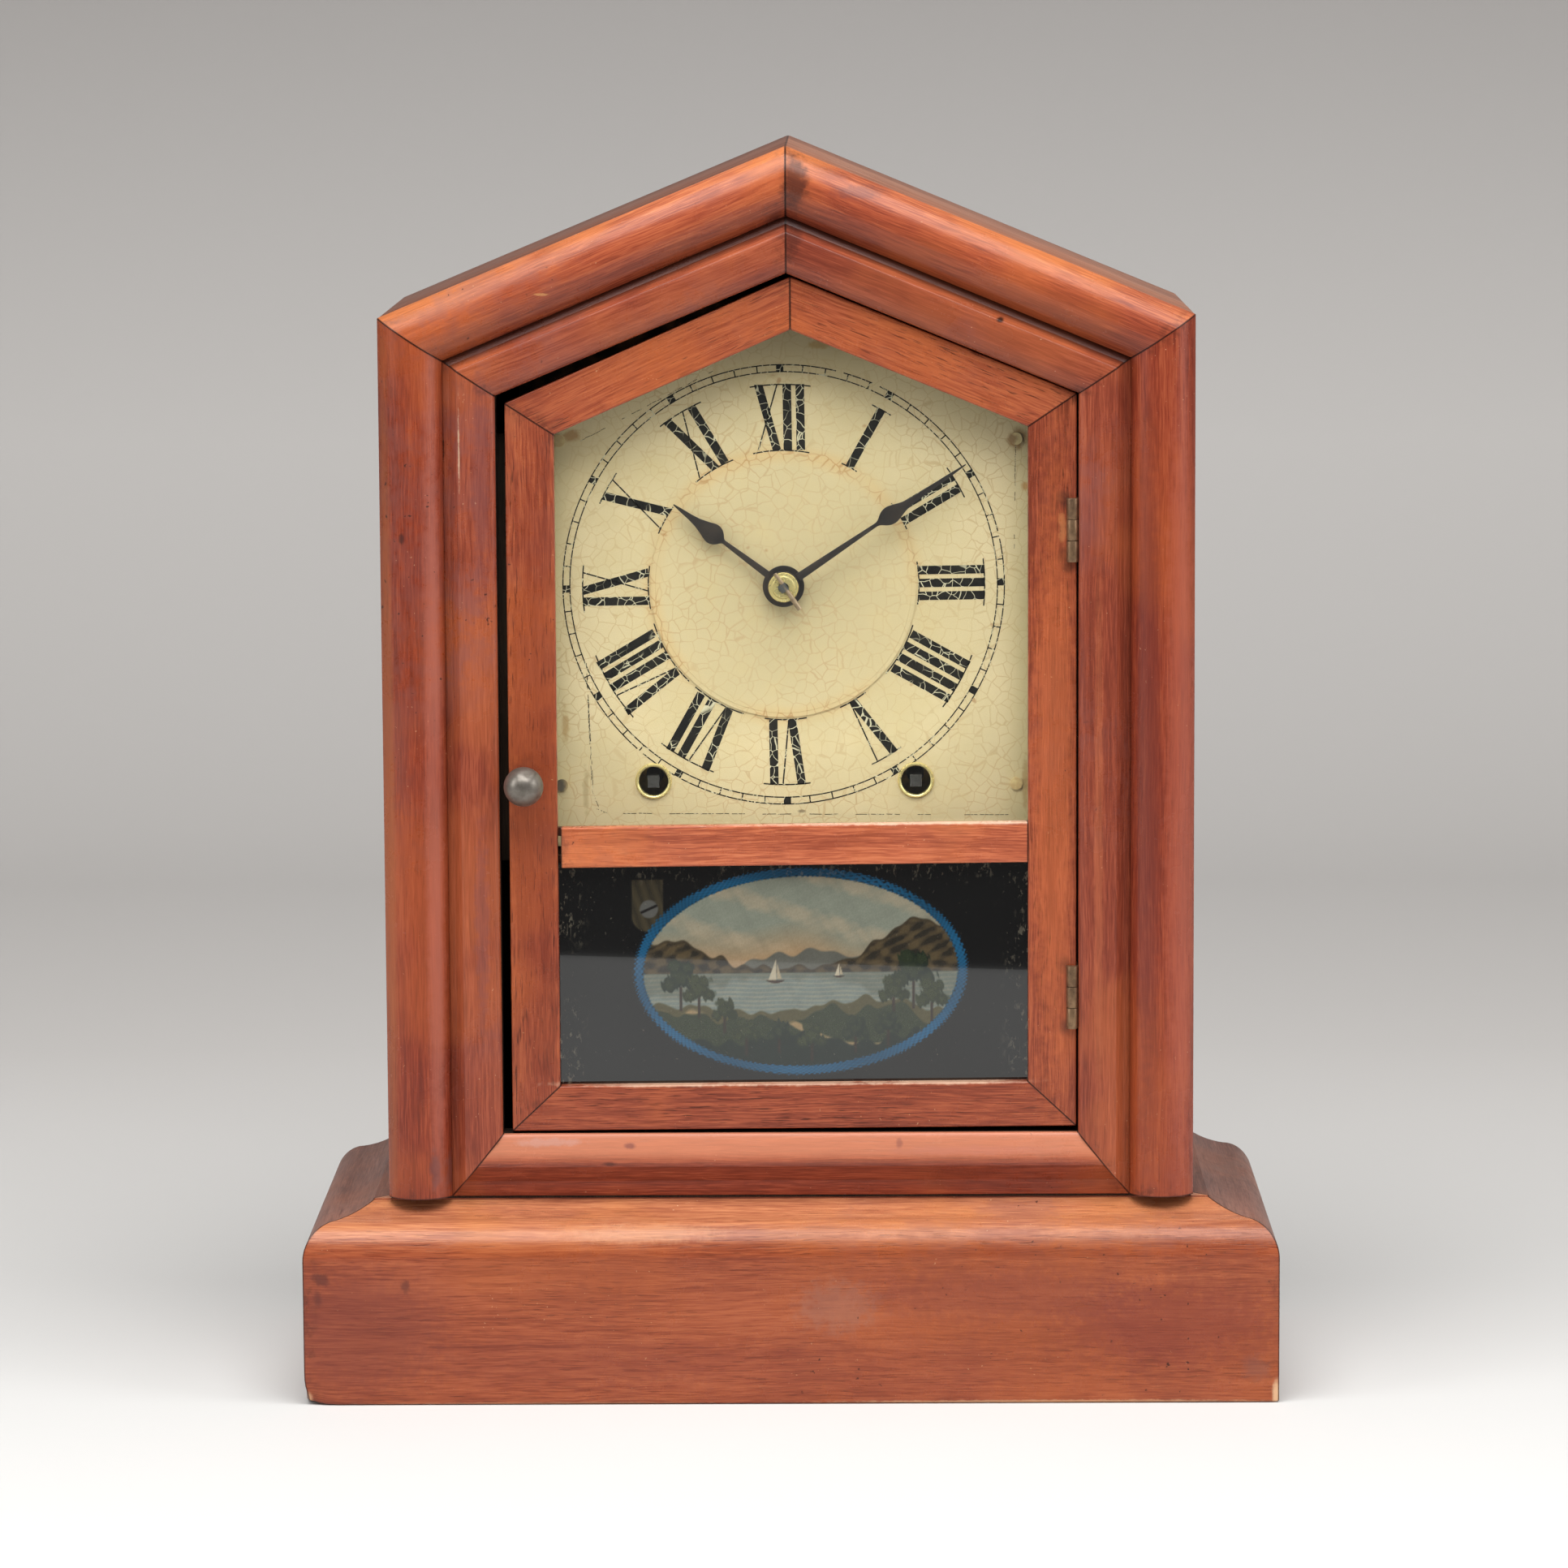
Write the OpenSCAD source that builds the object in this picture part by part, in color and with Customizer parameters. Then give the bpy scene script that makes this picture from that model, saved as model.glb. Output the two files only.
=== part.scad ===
// Cottage clock with a pointed top, a hinged glazed door and a time and strike movement.
// Millimetres, +Z up, front towards -Y. The origin is on the table under the middle of the base.
// Front views are drawn in X and Z; places in the movement are measured from the hand centre.

/* [Base] */
// How far the base stands out beyond the case at each side
base_out = 22.8; // [19:0.1:32]
// Depth of the base, front to back
base_d = 116; // [114:1:128]
// Height of the plain face of the base boards
face_h = 40; // [34:1:48]
// Height of the rounded nose above the plain face
nose_h = 9.8; // [6:0.2:11]
// Depth of the rounded nose
nose_d = 8.5; // [6:0.25:9]
// Depth of the hollow behind the nose
hollow_d = 9.8; // [8:0.1:10.5]
// Slope of the hollow at its foot, in degrees
hollow_foot = 8; // [4:1:12]
// Slope of the hollow at its top, in degrees
hollow_top = 34; // [26:1:40]
// Height of the small step behind the hollow
step_h = 0.45; // [0.3:0.05:1.5]
// Thickness of the base boards
base_t = 23.5; // [21:0.5:24]
// Thickness of the rail across the back of the base
base_rail_t = 10; // [6:1:14]
// Thickness of the board that closes the base
floor_t = 7; // [5:0.5:10]
// Side of the square glue blocks in the corners
glue_block = 14; // [8:1:20]

/* [Case] */
// Width of the case over the columns
case_w = 221.4; // [218:0.2:225]
// Height of the roof's peak above the table
case_h = 342.4; // [336:0.2:350]
// Slope of the roof in degrees
pitch = 22.5; // [21:0.25:24]
// Distance of the case front behind the base front
set_back = 18; // [17.7:0.1:19.5]
// Thickness of the side boards
side_t = 8.2; // [6:0.2:10]
// Thickness of the roof boards
roof_t = 8; // [5:0.5:10]
// Thickness of the back board
back_t = 6; // [4:0.5:8]
// Thickness of the flat frame behind the mouldings
frame_t = 7.7; // [7:0.1:8]
// Clearance between the base top and the mouldings over it
foot_gap = 0.7; // [0.3:0.1:1.5]

/* [Mouldings] */
// Width of the half round moulding
mould_w = 17.4; // [15:0.2:18]
// Straight edge of the half round moulding
mould_side = 1; // [0.5:0.1:2]
// Rise of the round above its edge
mould_rise = 5.5; // [4:0.25:7]
// Width of the surround at the sides and top
surround_w = 14.2; // [13:0.1:15]
// Width of the surround at the bottom
surround_bottom_w = 17.4; // [16:0.1:18]
// Distance of the ridge from the outer edge of the surround
ridge_at = 4.4; // [3:0.2:6]
// The same distance on the bottom piece
ridge_bottom_at = 8; // [6:0.2:9]
// Height of the ridge
ridge_h = 4.3; // [3:0.1:5.5]
// Thickness of the surround at its inner edge
surround_edge = 1.5; // [1:0.1:2.5]

/* [Door] */
// Thickness of the door
door_t = 8.5; // [8.2:0.1:9]
// How far the door face stands in front of the case frame
door_proud = 0.5; // [0:0.1:1]
// Width of the stiles and of the top rails
member_w = 13.2; // [12:0.1:14]
// Width of the bottom rail
bottom_rail_w = 12.4; // [11:0.1:14]
// Height of the middle rail
middle_rail_w = 11.1; // [9:0.1:14]
// How far the middle rail reaches below the lower edge of the dial
middle_rail_drop = 3; // [0:0.1:6]
// Gap beside the door at the hinges
gap_hinge = 0.5; // [0.3:0.1:1]
// Gap beside the door at the knob
gap_knob = 2.6; // [1:0.1:3.5]
// Gap under the door at the hinges
gap_bottom = 1.6; // [1.3:0.1:3]
// Gap over the door at the hinges
gap_top = 0.4; // [0.3:0.1:1.5]
// How far the knob side has sunk at the bottom of the door
sunk_bottom = 0.9; // [0:0.1:1]
// How far the knob side has sunk at the shoulder
sunk_top = 2; // [0:0.1:2.5]
// Extra height of the peak of the door
peak_extra = 0.9; // [0:0.1:1.2]
// Width of the rebate for the glass
rebate_w = 3; // [2:0.1:3.5]
// Wood left in front of the glass
lip_t = 3.9; // [3:0.1:4.2]
// Thickness of the glass
glass_t = 1.6; // [1.2:0.1:2]
// Clearance round the edges of the glass
glass_gap = 0.3; // [0.1:0.1:0.5]
// Width of the strips that hold the glass
strip_w = 2.2; // [1.5:0.1:2.6]

/* [Hinges, knob and catch] */
// Distance of the upper hinge below the shoulder of the door
hinge_upper_down = 37; // [20:0.5:70]
// Distance of the lower hinge above the bottom of the door
hinge_lower_up = 36; // [16:0.5:60]
// Length of a hinge
hinge_l = 17.4; // [14:0.2:22]
// Radius of the hinge barrel
barrel_r = 1.65; // [1.5:0.05:1.9]
// Radius of the hinge pin
hinge_pin_r = 0.75; // [0.6:0.05:0.9]
// Running clearance round the hinge pin
pin_gap = 0.04; // [0.02:0.01:0.08]
// Thickness of the hinge leaves
leaf_t = 0.9; // [0.7:0.05:1]
// Depth of the hinge leaves behind the barrel
leaf_d = 5.6; // [4:0.1:6]
// Distance of the hinge axis in front of the door face
hinge_out = 0.5; // [0.3:0.1:0.8]
// Distance of the knob below the hand centre
knob_down = 52.5; // [40:0.5:58]
// Distance of the knob from the outer edge of the stile
knob_in = 4.5; // [4:0.1:6]
// Radius of the knob
knob_r = 5.4; // [4:0.1:6.5]
// Radius of the knob's spindle
spindle_r = 1.5; // [1:0.1:2]
// Reach of the catch from the spindle
catch_l = 10.6; // [9.5:0.1:12]
// Thickness of the catch
catch_t = 1; // [0.6:0.1:1.2]

/* [Dial] */
// Place of the hand centre across the case
hand_x = -1.2; // [-2:0.1:2]
// Distance of the hand centre below the roof's peak
hand_down = 120.3; // [116:0.1:124]
// Distance of the dial behind the case front
dial_back = 13; // [13:0.1:14]
// Thickness of the zinc dial
dial_t = 0.6; // [0.5:0.1:1]
// Half the width of the dial
dial_half = 73; // [70:0.5:78]
// Distance of the dial's lower edge below the hand centre
dial_drop = 72; // [68:0.5:76]
// Distance of the dial's peak above the hand centre
dial_rise = 78; // [74:0.5:82]
// Radius of the raised centre of the dial
centre_r = 36.4; // [30:0.2:38]
// Height of the raised centre
centre_h = 0.3; // [0.1:0.05:0.6]
// Radius of the centre hole
centre_hole_r = 4.6; // [3.6:0.1:6]
// Radius of the winding holes
wind_hole_r = 4; // [3.2:0.1:5]
// Wall of the brass eyelets
eyelet_wall = 0.25; // [0.2:0.05:0.4]
// Width of the eyelet's flange
eyelet_flange = 0.75; // [0.5:0.05:1.5]
// Distance of the dial brads from the centre line
brad_x = 62.5; // [61.5:0.5:68]
// Radius of the heads of the dial brads
brad_head_r = 1.7; // [1:0.1:2.2]
// Inner edge of the boards behind the dial
rail_x = 60; // [56:0.5:61]
// Thickness of the boards behind the dial
dial_rail_t = 8; // [5:0.5:8.5]

/* [Hands] */
// Length of the hour hand
hour_l = 37.5; // [30:0.5:42]
// Length of the minute hand
minute_l = 60; // [50:0.5:64]
// Thickness of the hands
hand_t = 0.6; // [0.4:0.05:0.8]
// Direction of the hour hand, degrees clockwise from 12
hour_at = -53; // [-180:1:180]
// Direction of the minute hand, degrees clockwise from 12
minute_at = 56.2; // [-180:0.1:180]
// Radius of the ring round the hour pipe
hour_hub_r = 5.7; // [4.5:0.1:7]
// Radius of the brass washer over the minute hand
collet_r = 4.1; // [3:0.1:5]
// Length of the pin through the arbor
taper_l = 12; // [8:0.5:14]

/* [Movement plates] */
// Width of the plates
plate_w = 96; // [92:0.5:98]
// Height of the plates above the hand centre
plate_up = 36; // [34:0.5:40]
// Distance of the lower edge of the plates below the hand centre
plate_down = 88; // [86:0.5:90]
// Thickness of the brass plates
plate_t = 1.5; // [1:0.1:2]
// Distance of the front plate behind the dial
plate_back = 17.5; // [17.3:0.1:18.5]
// Gap between the plates
plate_gap = 34; // [33:0.5:36]
// Radius of the pillars
pillar_r = 2.4; // [1.5:0.1:2.8]
// Running clearance round the arbors
run = 0.05; // [0.02:0.01:0.09]
// Radius of the small pivots
pivot_r = 0.8; // [0.5:0.05:0.9]
// Width of the brass feet
foot_w = 8.9; // [7:0.1:10]

/* [Train] */
// Distance of a winding arbor beside the hand centre
wind_x = 36.1; // [35.5:0.1:36.5]
// Distance of a winding arbor below the hand centre
wind_down = 54; // [53.5:0.1:54.5]
// Radius of a winding arbor
wind_r = 2.4; // [2:0.1:2.8]
// Side of the winding square
square_w = 3.2; // [2.4:0.1:3.8]
// Tooth size of the great wheels
great_m = 0.8; // [0.79:0.01:0.81]
// Tooth size of the second and centre wheels
train_m = 0.6; // [0.59:0.01:0.61]
// Tooth size of the third wheel
third_m = 0.45; // [0.44:0.01:0.46]
// Tooth size of the strike train's third wheel
fly_m = 0.5; // [0.48:0.01:0.52]
// Radius of the escape wheel
escape_r = 11.5; // [11:0.1:12]
// Half the swing of the pendulum in degrees
swing = 2.5; // [1:0.25:3]
// Distance of the crutch loop below the verge
crutch_drop = 23; // [20:0.5:26]
// Distance of the suspension above the verge
suspension_up = 6.9; // [5:0.1:8]
// Length of the pendulum down to the middle of the bob
pendulum_l = 127; // [110:1:132]
// Radius of the bob
bob_r = 13; // [9:0.5:15]
// Thickness of the bob
bob_t = 7; // [4:0.5:9]
// Turns of each mainspring
spring_turns = 6; // [3:1:7]
// Thickness of the mainspring strip
spring_t = 0.6; // [0.4:0.05:0.8]

/* [Gong] */
// Height of the middle of the gong above the base
gong_up = 32; // [30:1:40]
// Radius of the gong's coil
gong_r = 24; // [20:0.5:27]
// Distance of the gong ahead of the middle of the room behind the plates
gong_ahead = 0.75; // [0:0.25:2]
// Radius of the boss that holds the gong
gong_boss_r = 5; // [4:0.25:7]
// Width of the gong's strip
gong_wire = 1.8; // [1.2:0.1:2.4]
// Turns of the gong
gong_turns = 4; // [3:1:5]
// Radius of the hammer head
hammer_r = 4; // [3:0.25:5]
// Length of the hammer head
hammer_head_l = 8; // [5:0.5:10]
// Gap between the hammer at rest and the gong
hammer_gap = 1; // [0.6:0.1:2]

/* [Hidden] */
$fn = 64;
front_y = -base_d / 2;
back_y = base_d / 2;
case_y = front_y + set_back;
nose_z = face_h + nose_h;
hollow_r = hollow_d / (sin(hollow_top) - sin(hollow_foot));
hollow_h = hollow_r * (cos(hollow_foot) - cos(hollow_top));
base_top = nose_z + hollow_h + step_h;
half_w = case_w / 2;
base_w = case_w + 2 * base_out;
tan_p = tan(pitch);
eave_z = case_h - half_w * tan_p;
hand_z = case_h - hand_down;
foot_z = base_top + foot_gap;
frame_y = case_y + frame_t;

// The z of a line under the roof's upper face, at x and at a depth square to the slope
function roof_z(x, depth = 0) = case_h - abs(x) * tan_p - depth / cos(pitch);
function unit(v) = v / norm(v);
function side_of(a, b) = [b[1] - a[1], a[0] - b[0]] / norm(b - a);
// A convex outline, counterclockwise, moved outwards by d
function grow(p, d) = [for (i = [0 : len(p) - 1])
    let (n = len(p), a = side_of(p[(i + n - 1) % n], p[i]), b = side_of(p[i], p[(i + 1) % n]))
    p[i] + d * (a + b) / (1 + a * b)];
// A pointed outline from its left, right, bottom, shoulder heights and peak
function pointed(xl, xr, zb, zl, zr, peak) = [[xl, zb], [xr, zb], [xr, zr], peak, [xl, zl]];
function arc(r, a0, a1, steps) = [for (i = [0 : steps]) let (a = a0 + (a1 - a0) * i / steps) r * [cos(a), sin(a)]];

// Outlines of the case front: outer edge, joint of the two mouldings, door opening
outer = pointed(-half_w, half_w, foot_z, eave_z, eave_z, [0, case_h]);
joint = pointed(-half_w + mould_w, half_w - mould_w, foot_z,
    roof_z(half_w - mould_w, mould_w), roof_z(half_w - mould_w, mould_w), [0, roof_z(0, mould_w)]);
open_x = half_w - mould_w - surround_w;
open_depth = mould_w + surround_w;
open_z = foot_z + surround_bottom_w;
opening = pointed(-open_x, open_x, open_z,
    roof_z(open_x, open_depth), roof_z(open_x, open_depth), [0, roof_z(0, open_depth)]);

// Door outlines, square first and then sunk at the knob side
door_y = case_y - door_proud;
door_back = door_y + door_t;
door_xr = open_x - gap_hinge;
door_xl = -open_x + gap_knob;
door_z = open_z + gap_bottom;
shoulder_z = roof_z(door_xr, open_depth) - gap_top;
door_mid = (door_xl + door_xr) / 2;
door_outer = pointed(door_xl, door_xr, door_z, shoulder_z, shoulder_z,
    [door_mid, roof_z(door_mid, open_depth) - gap_top + peak_extra]);
door_even = grow(door_outer, -member_w);
door_inner = [[door_even[0][0], door_z + bottom_rail_w], [door_even[1][0], door_z + bottom_rail_w],
    door_even[2], door_even[3], door_even[4]];
middle_z = hand_z - dial_drop - middle_rail_drop;
upper_light = [[door_inner[0][0], middle_z + middle_rail_w], [door_inner[1][0], middle_z + middle_rail_w],
    door_inner[2], door_inner[3], door_inner[4]];
lower_light = [door_inner[0], door_inner[1], [door_inner[1][0], middle_z], [door_inner[0][0], middle_z]];
function drop(z) = sunk_bottom + (sunk_top - sunk_bottom) * (z - door_z) / (shoulder_z - door_z);
function sink(p) = [p[0], p[1] - drop(p[1]) * (door_xr - p[0]) / (door_xr - door_xl)];
function sunk(points) = [for (p = points) sink(p)];
glass_y = door_y + lip_t;
hinge_upper_z = shoulder_z - hinge_upper_down;
hinge_lower_z = door_z + hinge_lower_up;

// Hinges, knob and catch
hinge_x = open_x - barrel_r;
hinge_y = door_y - hinge_out;
knuckle_gap = 0.15;
leaf_gap = 0.2;
knob_x = door_xl + knob_in;
knob_z = hand_z - knob_down;
catch_gap = 0.1;
catch_w = 4;

// Dial and hands
dial_y = case_y + dial_back;
dial_shoulder = roof_z(dial_half, roof_t + 2);
hour_y = dial_y - 3;
minute_y = hour_y - 2.4;
square_end = minute_y - 2;

// Movement, with Y places counted from the back of the front plate
plate_y = dial_y + plate_back;
in_y = plate_y + plate_t;
out_y = in_y + plate_gap;
great_n = 60;
pinion_n = 8;
second_n = 60;
centre_n = 60;
third_pinion_n = 6;
third_n = 72;
escape_pinion_n = 6;
escape_n = 42;
strike_n = 48;
strike_third_n = 40;
wheel_t = 1.2;
great_t = 2;
rim = 1.7;
tooth_out = 0.95;
tooth_in = 1.25;
wire_share = 0.72;

function pitch_r(m, n) = m * n / 2;
// The point at distance ra from a and rb from b, on the left of the line from a to b
function meet(a, ra, b, rb) = let (d = norm(b - a), x = (ra * ra - rb * rb + d * d) / (2 * d),
    h = sqrt(max(0, ra * ra - x * x)), u = (b - a) / d) a + x * u + h * [-u[1], u[0]];
function polar(r, a) = r * [cos(a), sin(a)];
function angle(v) = atan2(v[1], v[0]);
// The turn of a pinion at q that meshes with a wheel at p whose turn is given
function mesh_turn(p, n, turn, q, k) = let (line = angle(q - p)) line + 180 - (turn - line) * n / k + 180 / k;

time_p1 = [wind_x, -wind_down];
strike_p1 = [-wind_x, -wind_down];
great_reach = pitch_r(great_m, great_n + pinion_n);
centre_reach = pitch_r(train_m, centre_n + third_pinion_n);
second_reach = pitch_r(train_m, second_n + third_pinion_n);
time_p3 = polar(centre_reach, -38);
time_p2 = meet(time_p1, great_reach, time_p3, second_reach);
escape_p = time_p3 + polar(pitch_r(third_m, third_n + escape_pinion_n), 52);
verge_turn = 152.3;
verge_p = escape_p + polar(escape_r * sqrt(2), verge_turn);
strike_p2 = strike_p1 + polar(great_reach, 63.5);
strike_p3 = strike_p2 + polar(pitch_r(train_m, strike_n + pinion_n), 104);
fly_p = strike_p3 + polar(pitch_r(fly_m, strike_third_n + pinion_n), 80);
hammer_p = [-10, -64];
pillars = [[-45, -83.5], [45, -83.5], [40, 29], [-40, 29]];

// Y places of the wheels
great_y = in_y + 2.5;
second_y = in_y + 8.5;
centre_y = in_y + 12.2;
third_y = in_y + 18;
strike_third_y = in_y + 16;
spring_y = in_y + 12.7;
spring_w = 18;
work_y = plate_y - 2.9;
work_t = 1.4;
hour_wheel_y = plate_y - 6.4;
escape_y = plate_y - 2.9;
escape_t = 1;
rod_y = plate_y - 8.5;

// Motion work
cannon_n = 12;
minute_n = 36;
minute_pinion_n = 10;
hour_n = 40;
work_m = 0.6;
work_reach = pitch_r(work_m, cannon_n + minute_n);
hour_m = 2 * work_reach / (minute_pinion_n + hour_n);
minute_p = polar(work_reach, 200);
arbor_r = 1.5;
pipe_r = 2.9;

// Pendulum and verge, above the table
verge_z = hand_z + verge_p[1];
verge_x = hand_x + verge_p[0];
pivot_z = verge_z + suspension_up;
bob_z = pivot_z - pendulum_l;
rod_r = 0.7;

// Feet of the movement
feet = [for (sx = [-1, 1]) for (top = [0, 1])
    [sx * (plate_w / 2 - 7.3 - 4 * top), top == 0 ? -plate_down - 3 : plate_up + 3, top == 0 ? -1 : 1]];
foot_l = 16;
foot_t = 1.5;
block_w = 10.5;
block_h = 12;
screw_r = 1.2;
screw_head_r = 2.2;

// Gong and hammer
gong_y = (out_y + plate_t + back_y - back_t) / 2 - gong_ahead;
gong_d = 2.2;
gong_p = [hand_x, base_top + gong_up];
hammer_turn = angle(hammer_p + [hand_x, hand_z] - gong_p) + 60;
hammer_head_p = gong_p + polar(gong_r + gong_wire / 2 + hammer_gap + hammer_r, hammer_turn);

spring_r0 = wind_r + 0.4 + spring_t / 2;
spring_r1 = pitch_r(great_m, great_n) - 2;
gong_r0 = gong_boss_r - 0.6;

echo(mainspring_gap = (spring_r1 - spring_r0) / spring_turns - spring_t,
    gong_gap = (gong_r - gong_r0) / gong_turns - gong_wire,
    train = [time_p1, time_p2, time_p3, escape_p, verge_p], strike = [strike_p2, strike_p3, fly_p],
    hinge = [hinge_x, hinge_y], knob = [knob_x, knob_z], verge = [verge_x, verge_z], pivot = pivot_z,
    levels = [case_y, door_back, dial_y, plate_y, in_y, out_y, rod_y], minute_wheel = minute_p,
    feet_xz = feet, gong = [gong_p, gong_y, hammer_head_p]);

// Extrudes a front view from y0 at the front to y1 at the back
module panel(y0, y1) {
    translate([0, y1, 0]) rotate([90, 0, 0]) linear_extrude(y1 - y0) children();
}

// The same, for a front view drawn about the hand centre and shifted by p
module at(p, y0, y1) {
    panel(y0, y1) translate([hand_x + p[0], hand_z + p[1]]) children();
}

// Extrudes a profile drawn in Y and Z from x0 to x1
module bar(x0, x1) {
    translate([x0, 0, 0]) rotate([90, 0, 90]) linear_extrude(x1 - x0) children();
}

module block(x0, x1, y0, y1, z0, z1) {
    translate([x0, y0, z0]) cube([x1 - x0, y1 - y0, z1 - z0]);
}

// A moulding along the line from a to b, its profile drawn inwards and out towards the front,
// cut to the mitred outline given
module moulding(a, b, outline) {
    l = norm(b - a);
    intersection() {
        translate([0, case_y, 0]) rotate([90, 0, 0]) translate([a[0], a[1], 0])
            rotate([0, 0, angle(b - a)]) translate([-l / 2, 0, 0]) rotate([90, 0, 90])
            linear_extrude(2 * l) children();
        panel(case_y - 30, case_y) polygon(outline);
    }
}

module wood_panel(y0, y1, outline) {
    panel(y0, y1) polygon(outline);
}

// Base

// Section of the base boards, X going in from the face
module base_section() {
    nose = [for (i = [0 : 8]) let (a = i * 11.25) [nose_d * (1 - cos(a)), face_h + nose_h * sin(a)]];
    hollow = [for (i = [1 : 6]) let (a = hollow_foot + i * (hollow_top - hollow_foot) / 6)
        [nose_d + hollow_r * (sin(a) - sin(hollow_foot)), nose_z + hollow_r * (cos(hollow_foot) - cos(a))]];
    polygon(concat([[0, 0]], nose, hollow, [[nose_d + hollow_d, base_top], [base_t, base_top], [base_t, 0]]));
}

module base_front() {
    color("#a85c41") intersection() {
        bar(-base_w / 2, base_w / 2) translate([front_y, 0]) base_section();
        linear_extrude(base_top) polygon([[-base_w / 2, front_y], [base_w / 2, front_y],
            [base_w / 2 - base_t, front_y + base_t], [-base_w / 2 + base_t, front_y + base_t]]);
    }
}

module base_side() {
    intersection() {
        panel(front_y, back_y) translate([-base_w / 2, 0]) base_section();
        linear_extrude(base_top) polygon([[-base_w / 2, front_y], [-base_w / 2 + base_t, front_y + base_t],
            [-base_w / 2 + base_t, back_y], [-base_w / 2, back_y]]);
    }
}

module base_sides() {
    color("#9a5540") {
        base_side();
        mirror([1, 0, 0]) base_side();
    }
}

base_in_x = base_w / 2 - base_t;
base_in_y = front_y + base_t;

module base_back_rail() {
    color("#7c5a42") block(-base_in_x, base_in_x, back_y - base_rail_t, back_y, 0, base_top);
}

module case_floor() {
    color("#8a6a50") block(-base_in_x, base_in_x, base_in_y, back_y - base_rail_t, base_top - floor_t, base_top);
}

module glue_blocks() {
    color("#8a6a50") for (sx = [-1, 1]) for (back = [0, 1])
        translate([sx * (base_in_x - glue_block / 2),
            back == 0 ? base_in_y + glue_block / 2 : back_y - base_rail_t - glue_block / 2, 4])
            translate([-glue_block / 2, -glue_block / 2, 0]) cube([glue_block, glue_block, base_top - floor_t - 4]);
}

// Case

in_x = half_w - 0.5 - side_t;

module side_boards() {
    color("#8f5040") for (sx = [-1, 1]) wood_panel(frame_y, back_y, [[sx * in_x, base_top],
        [sx * (in_x + side_t), base_top], [sx * (in_x + side_t), roof_z(in_x + side_t, roof_t)],
        [sx * in_x, roof_z(in_x, roof_t)]]);
}

module roof_boards() {
    color("#94503c") for (sx = [-1, 1]) wood_panel(case_y, back_y, [[0, roof_z(0, roof_t)],
        [sx * half_w, roof_z(half_w, roof_t)], [sx * half_w, eave_z], [0, case_h]]);
}

module back_board() {
    color("#7c5a42") wood_panel(back_y - back_t, back_y, [[-in_x, base_top], [in_x, base_top],
        [in_x, roof_z(in_x, roof_t)], [0, roof_z(0, roof_t)], [-in_x, roof_z(in_x, roof_t)]]);
}

// The five boards of the flat frame, mitred like the surround
module front_frame() {
    edge_x = half_w - 0.5;
    back = pointed(-edge_x, edge_x, base_top, roof_z(edge_x, roof_t), roof_z(edge_x, roof_t), [0, roof_z(0, roof_t)]);
    color("#8a5a44") for (i = [0 : 4]) wood_panel(case_y, frame_y,
        [back[i], back[(i + 1) % 5], opening[(i + 1) % 5], opening[i]]);
}

module half_round() {
    r = (pow(mould_w / 2, 2) + pow(mould_rise, 2)) / (2 * mould_rise);
    square([mould_w, mould_side]);
    intersection() {
        translate([mould_w / 2, mould_side + mould_rise - r]) circle(r);
        translate([0, mould_side]) square([mould_w, mould_rise + 1]);
    }
}

module outer_piece(i) {
    a = outer[i];
    b = outer[(i + 1) % 5];
    color("#a8563c") moulding(a, b, [a, b, joint[(i + 1) % 5], joint[i]]) half_round();
}

module column_right() {
    outer_piece(1);
}

module roof_moulding_right() {
    outer_piece(2);
}

module roof_moulding_left() {
    outer_piece(3);
}

module column_left() {
    outer_piece(4);
}

// Section of the surround: a steep outer side, a ridge and a rounded slope to the opening
module surround_section(w, at) {
    fall = ridge_h - surround_edge;
    slope = [for (i = [0 : 8]) let (a = i * 11.25) [at + (w - at) * sin(a), surround_edge + fall * pow(cos(a), 0.8)]];
    polygon(concat([[0, 0], [0, 0.5], [at * 0.45, ridge_h * 0.35], [at * 0.9, ridge_h * 0.92]], slope, [[w, 0]]));
}

module surround_piece(i) {
    a = joint[i];
    b = joint[(i + 1) % 5];
    color("#a8523a") moulding(a, b, [a, b, opening[(i + 1) % 5], opening[i]])
        if (i == 0)
            surround_section(surround_bottom_w, ridge_bottom_at);
        else
            surround_section(surround_w, ridge_at);
}

module surround_bottom() {
    surround_piece(0);
}

module surround_right() {
    surround_piece(1);
}

module surround_top_right() {
    surround_piece(2);
}

module surround_top_left() {
    surround_piece(3);
}

module surround_left() {
    surround_piece(4);
}

// Door

// Clears the rebates for the two panes from the back of the door
module rebates() {
    for (light = [upper_light, lower_light])
        panel(glass_y, door_back + 1) polygon(sunk(grow(light, rebate_w)));
}

module door_member(outline) {
    color("#a04a30") difference() {
        wood_panel(door_y, door_back, sunk(outline));
        rebates();
        children();
    }
}

module door_frame_piece(i) {
    door_member([door_outer[i], door_outer[(i + 1) % 5], door_inner[(i + 1) % 5], door_inner[i]]) children();
}

// Recesses in the stile for the hinges
module hinge_notches() {
    for (z = [hinge_upper_z, hinge_lower_z])
        block(hinge_x - barrel_r, door_xr + 1, door_y - 1, door_back + 1,
            z - hinge_l / 2 - 0.35, z + hinge_l / 2 + 0.35);
}

module door_stile_right() {
    door_frame_piece(1) hinge_notches();
}

module door_rail_top_right() {
    door_frame_piece(2);
}

module door_rail_top_left() {
    door_frame_piece(3);
}

module door_stile_left() {
    door_frame_piece(4)
        translate([knob_x, door_back + 1, knob_z]) rotate([90, 0, 0]) cylinder(r = spindle_r + pin_gap, h = door_t + 2);
}

module door_rail_bottom() {
    door_frame_piece(0);
}

module door_rail_middle() {
    door_member([lower_light[3], lower_light[2], upper_light[1], upper_light[0]]);
}

module pane(light) {
    panel(glass_y, glass_y + glass_t) polygon(sunk(grow(light, rebate_w - glass_gap)));
}

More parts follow.
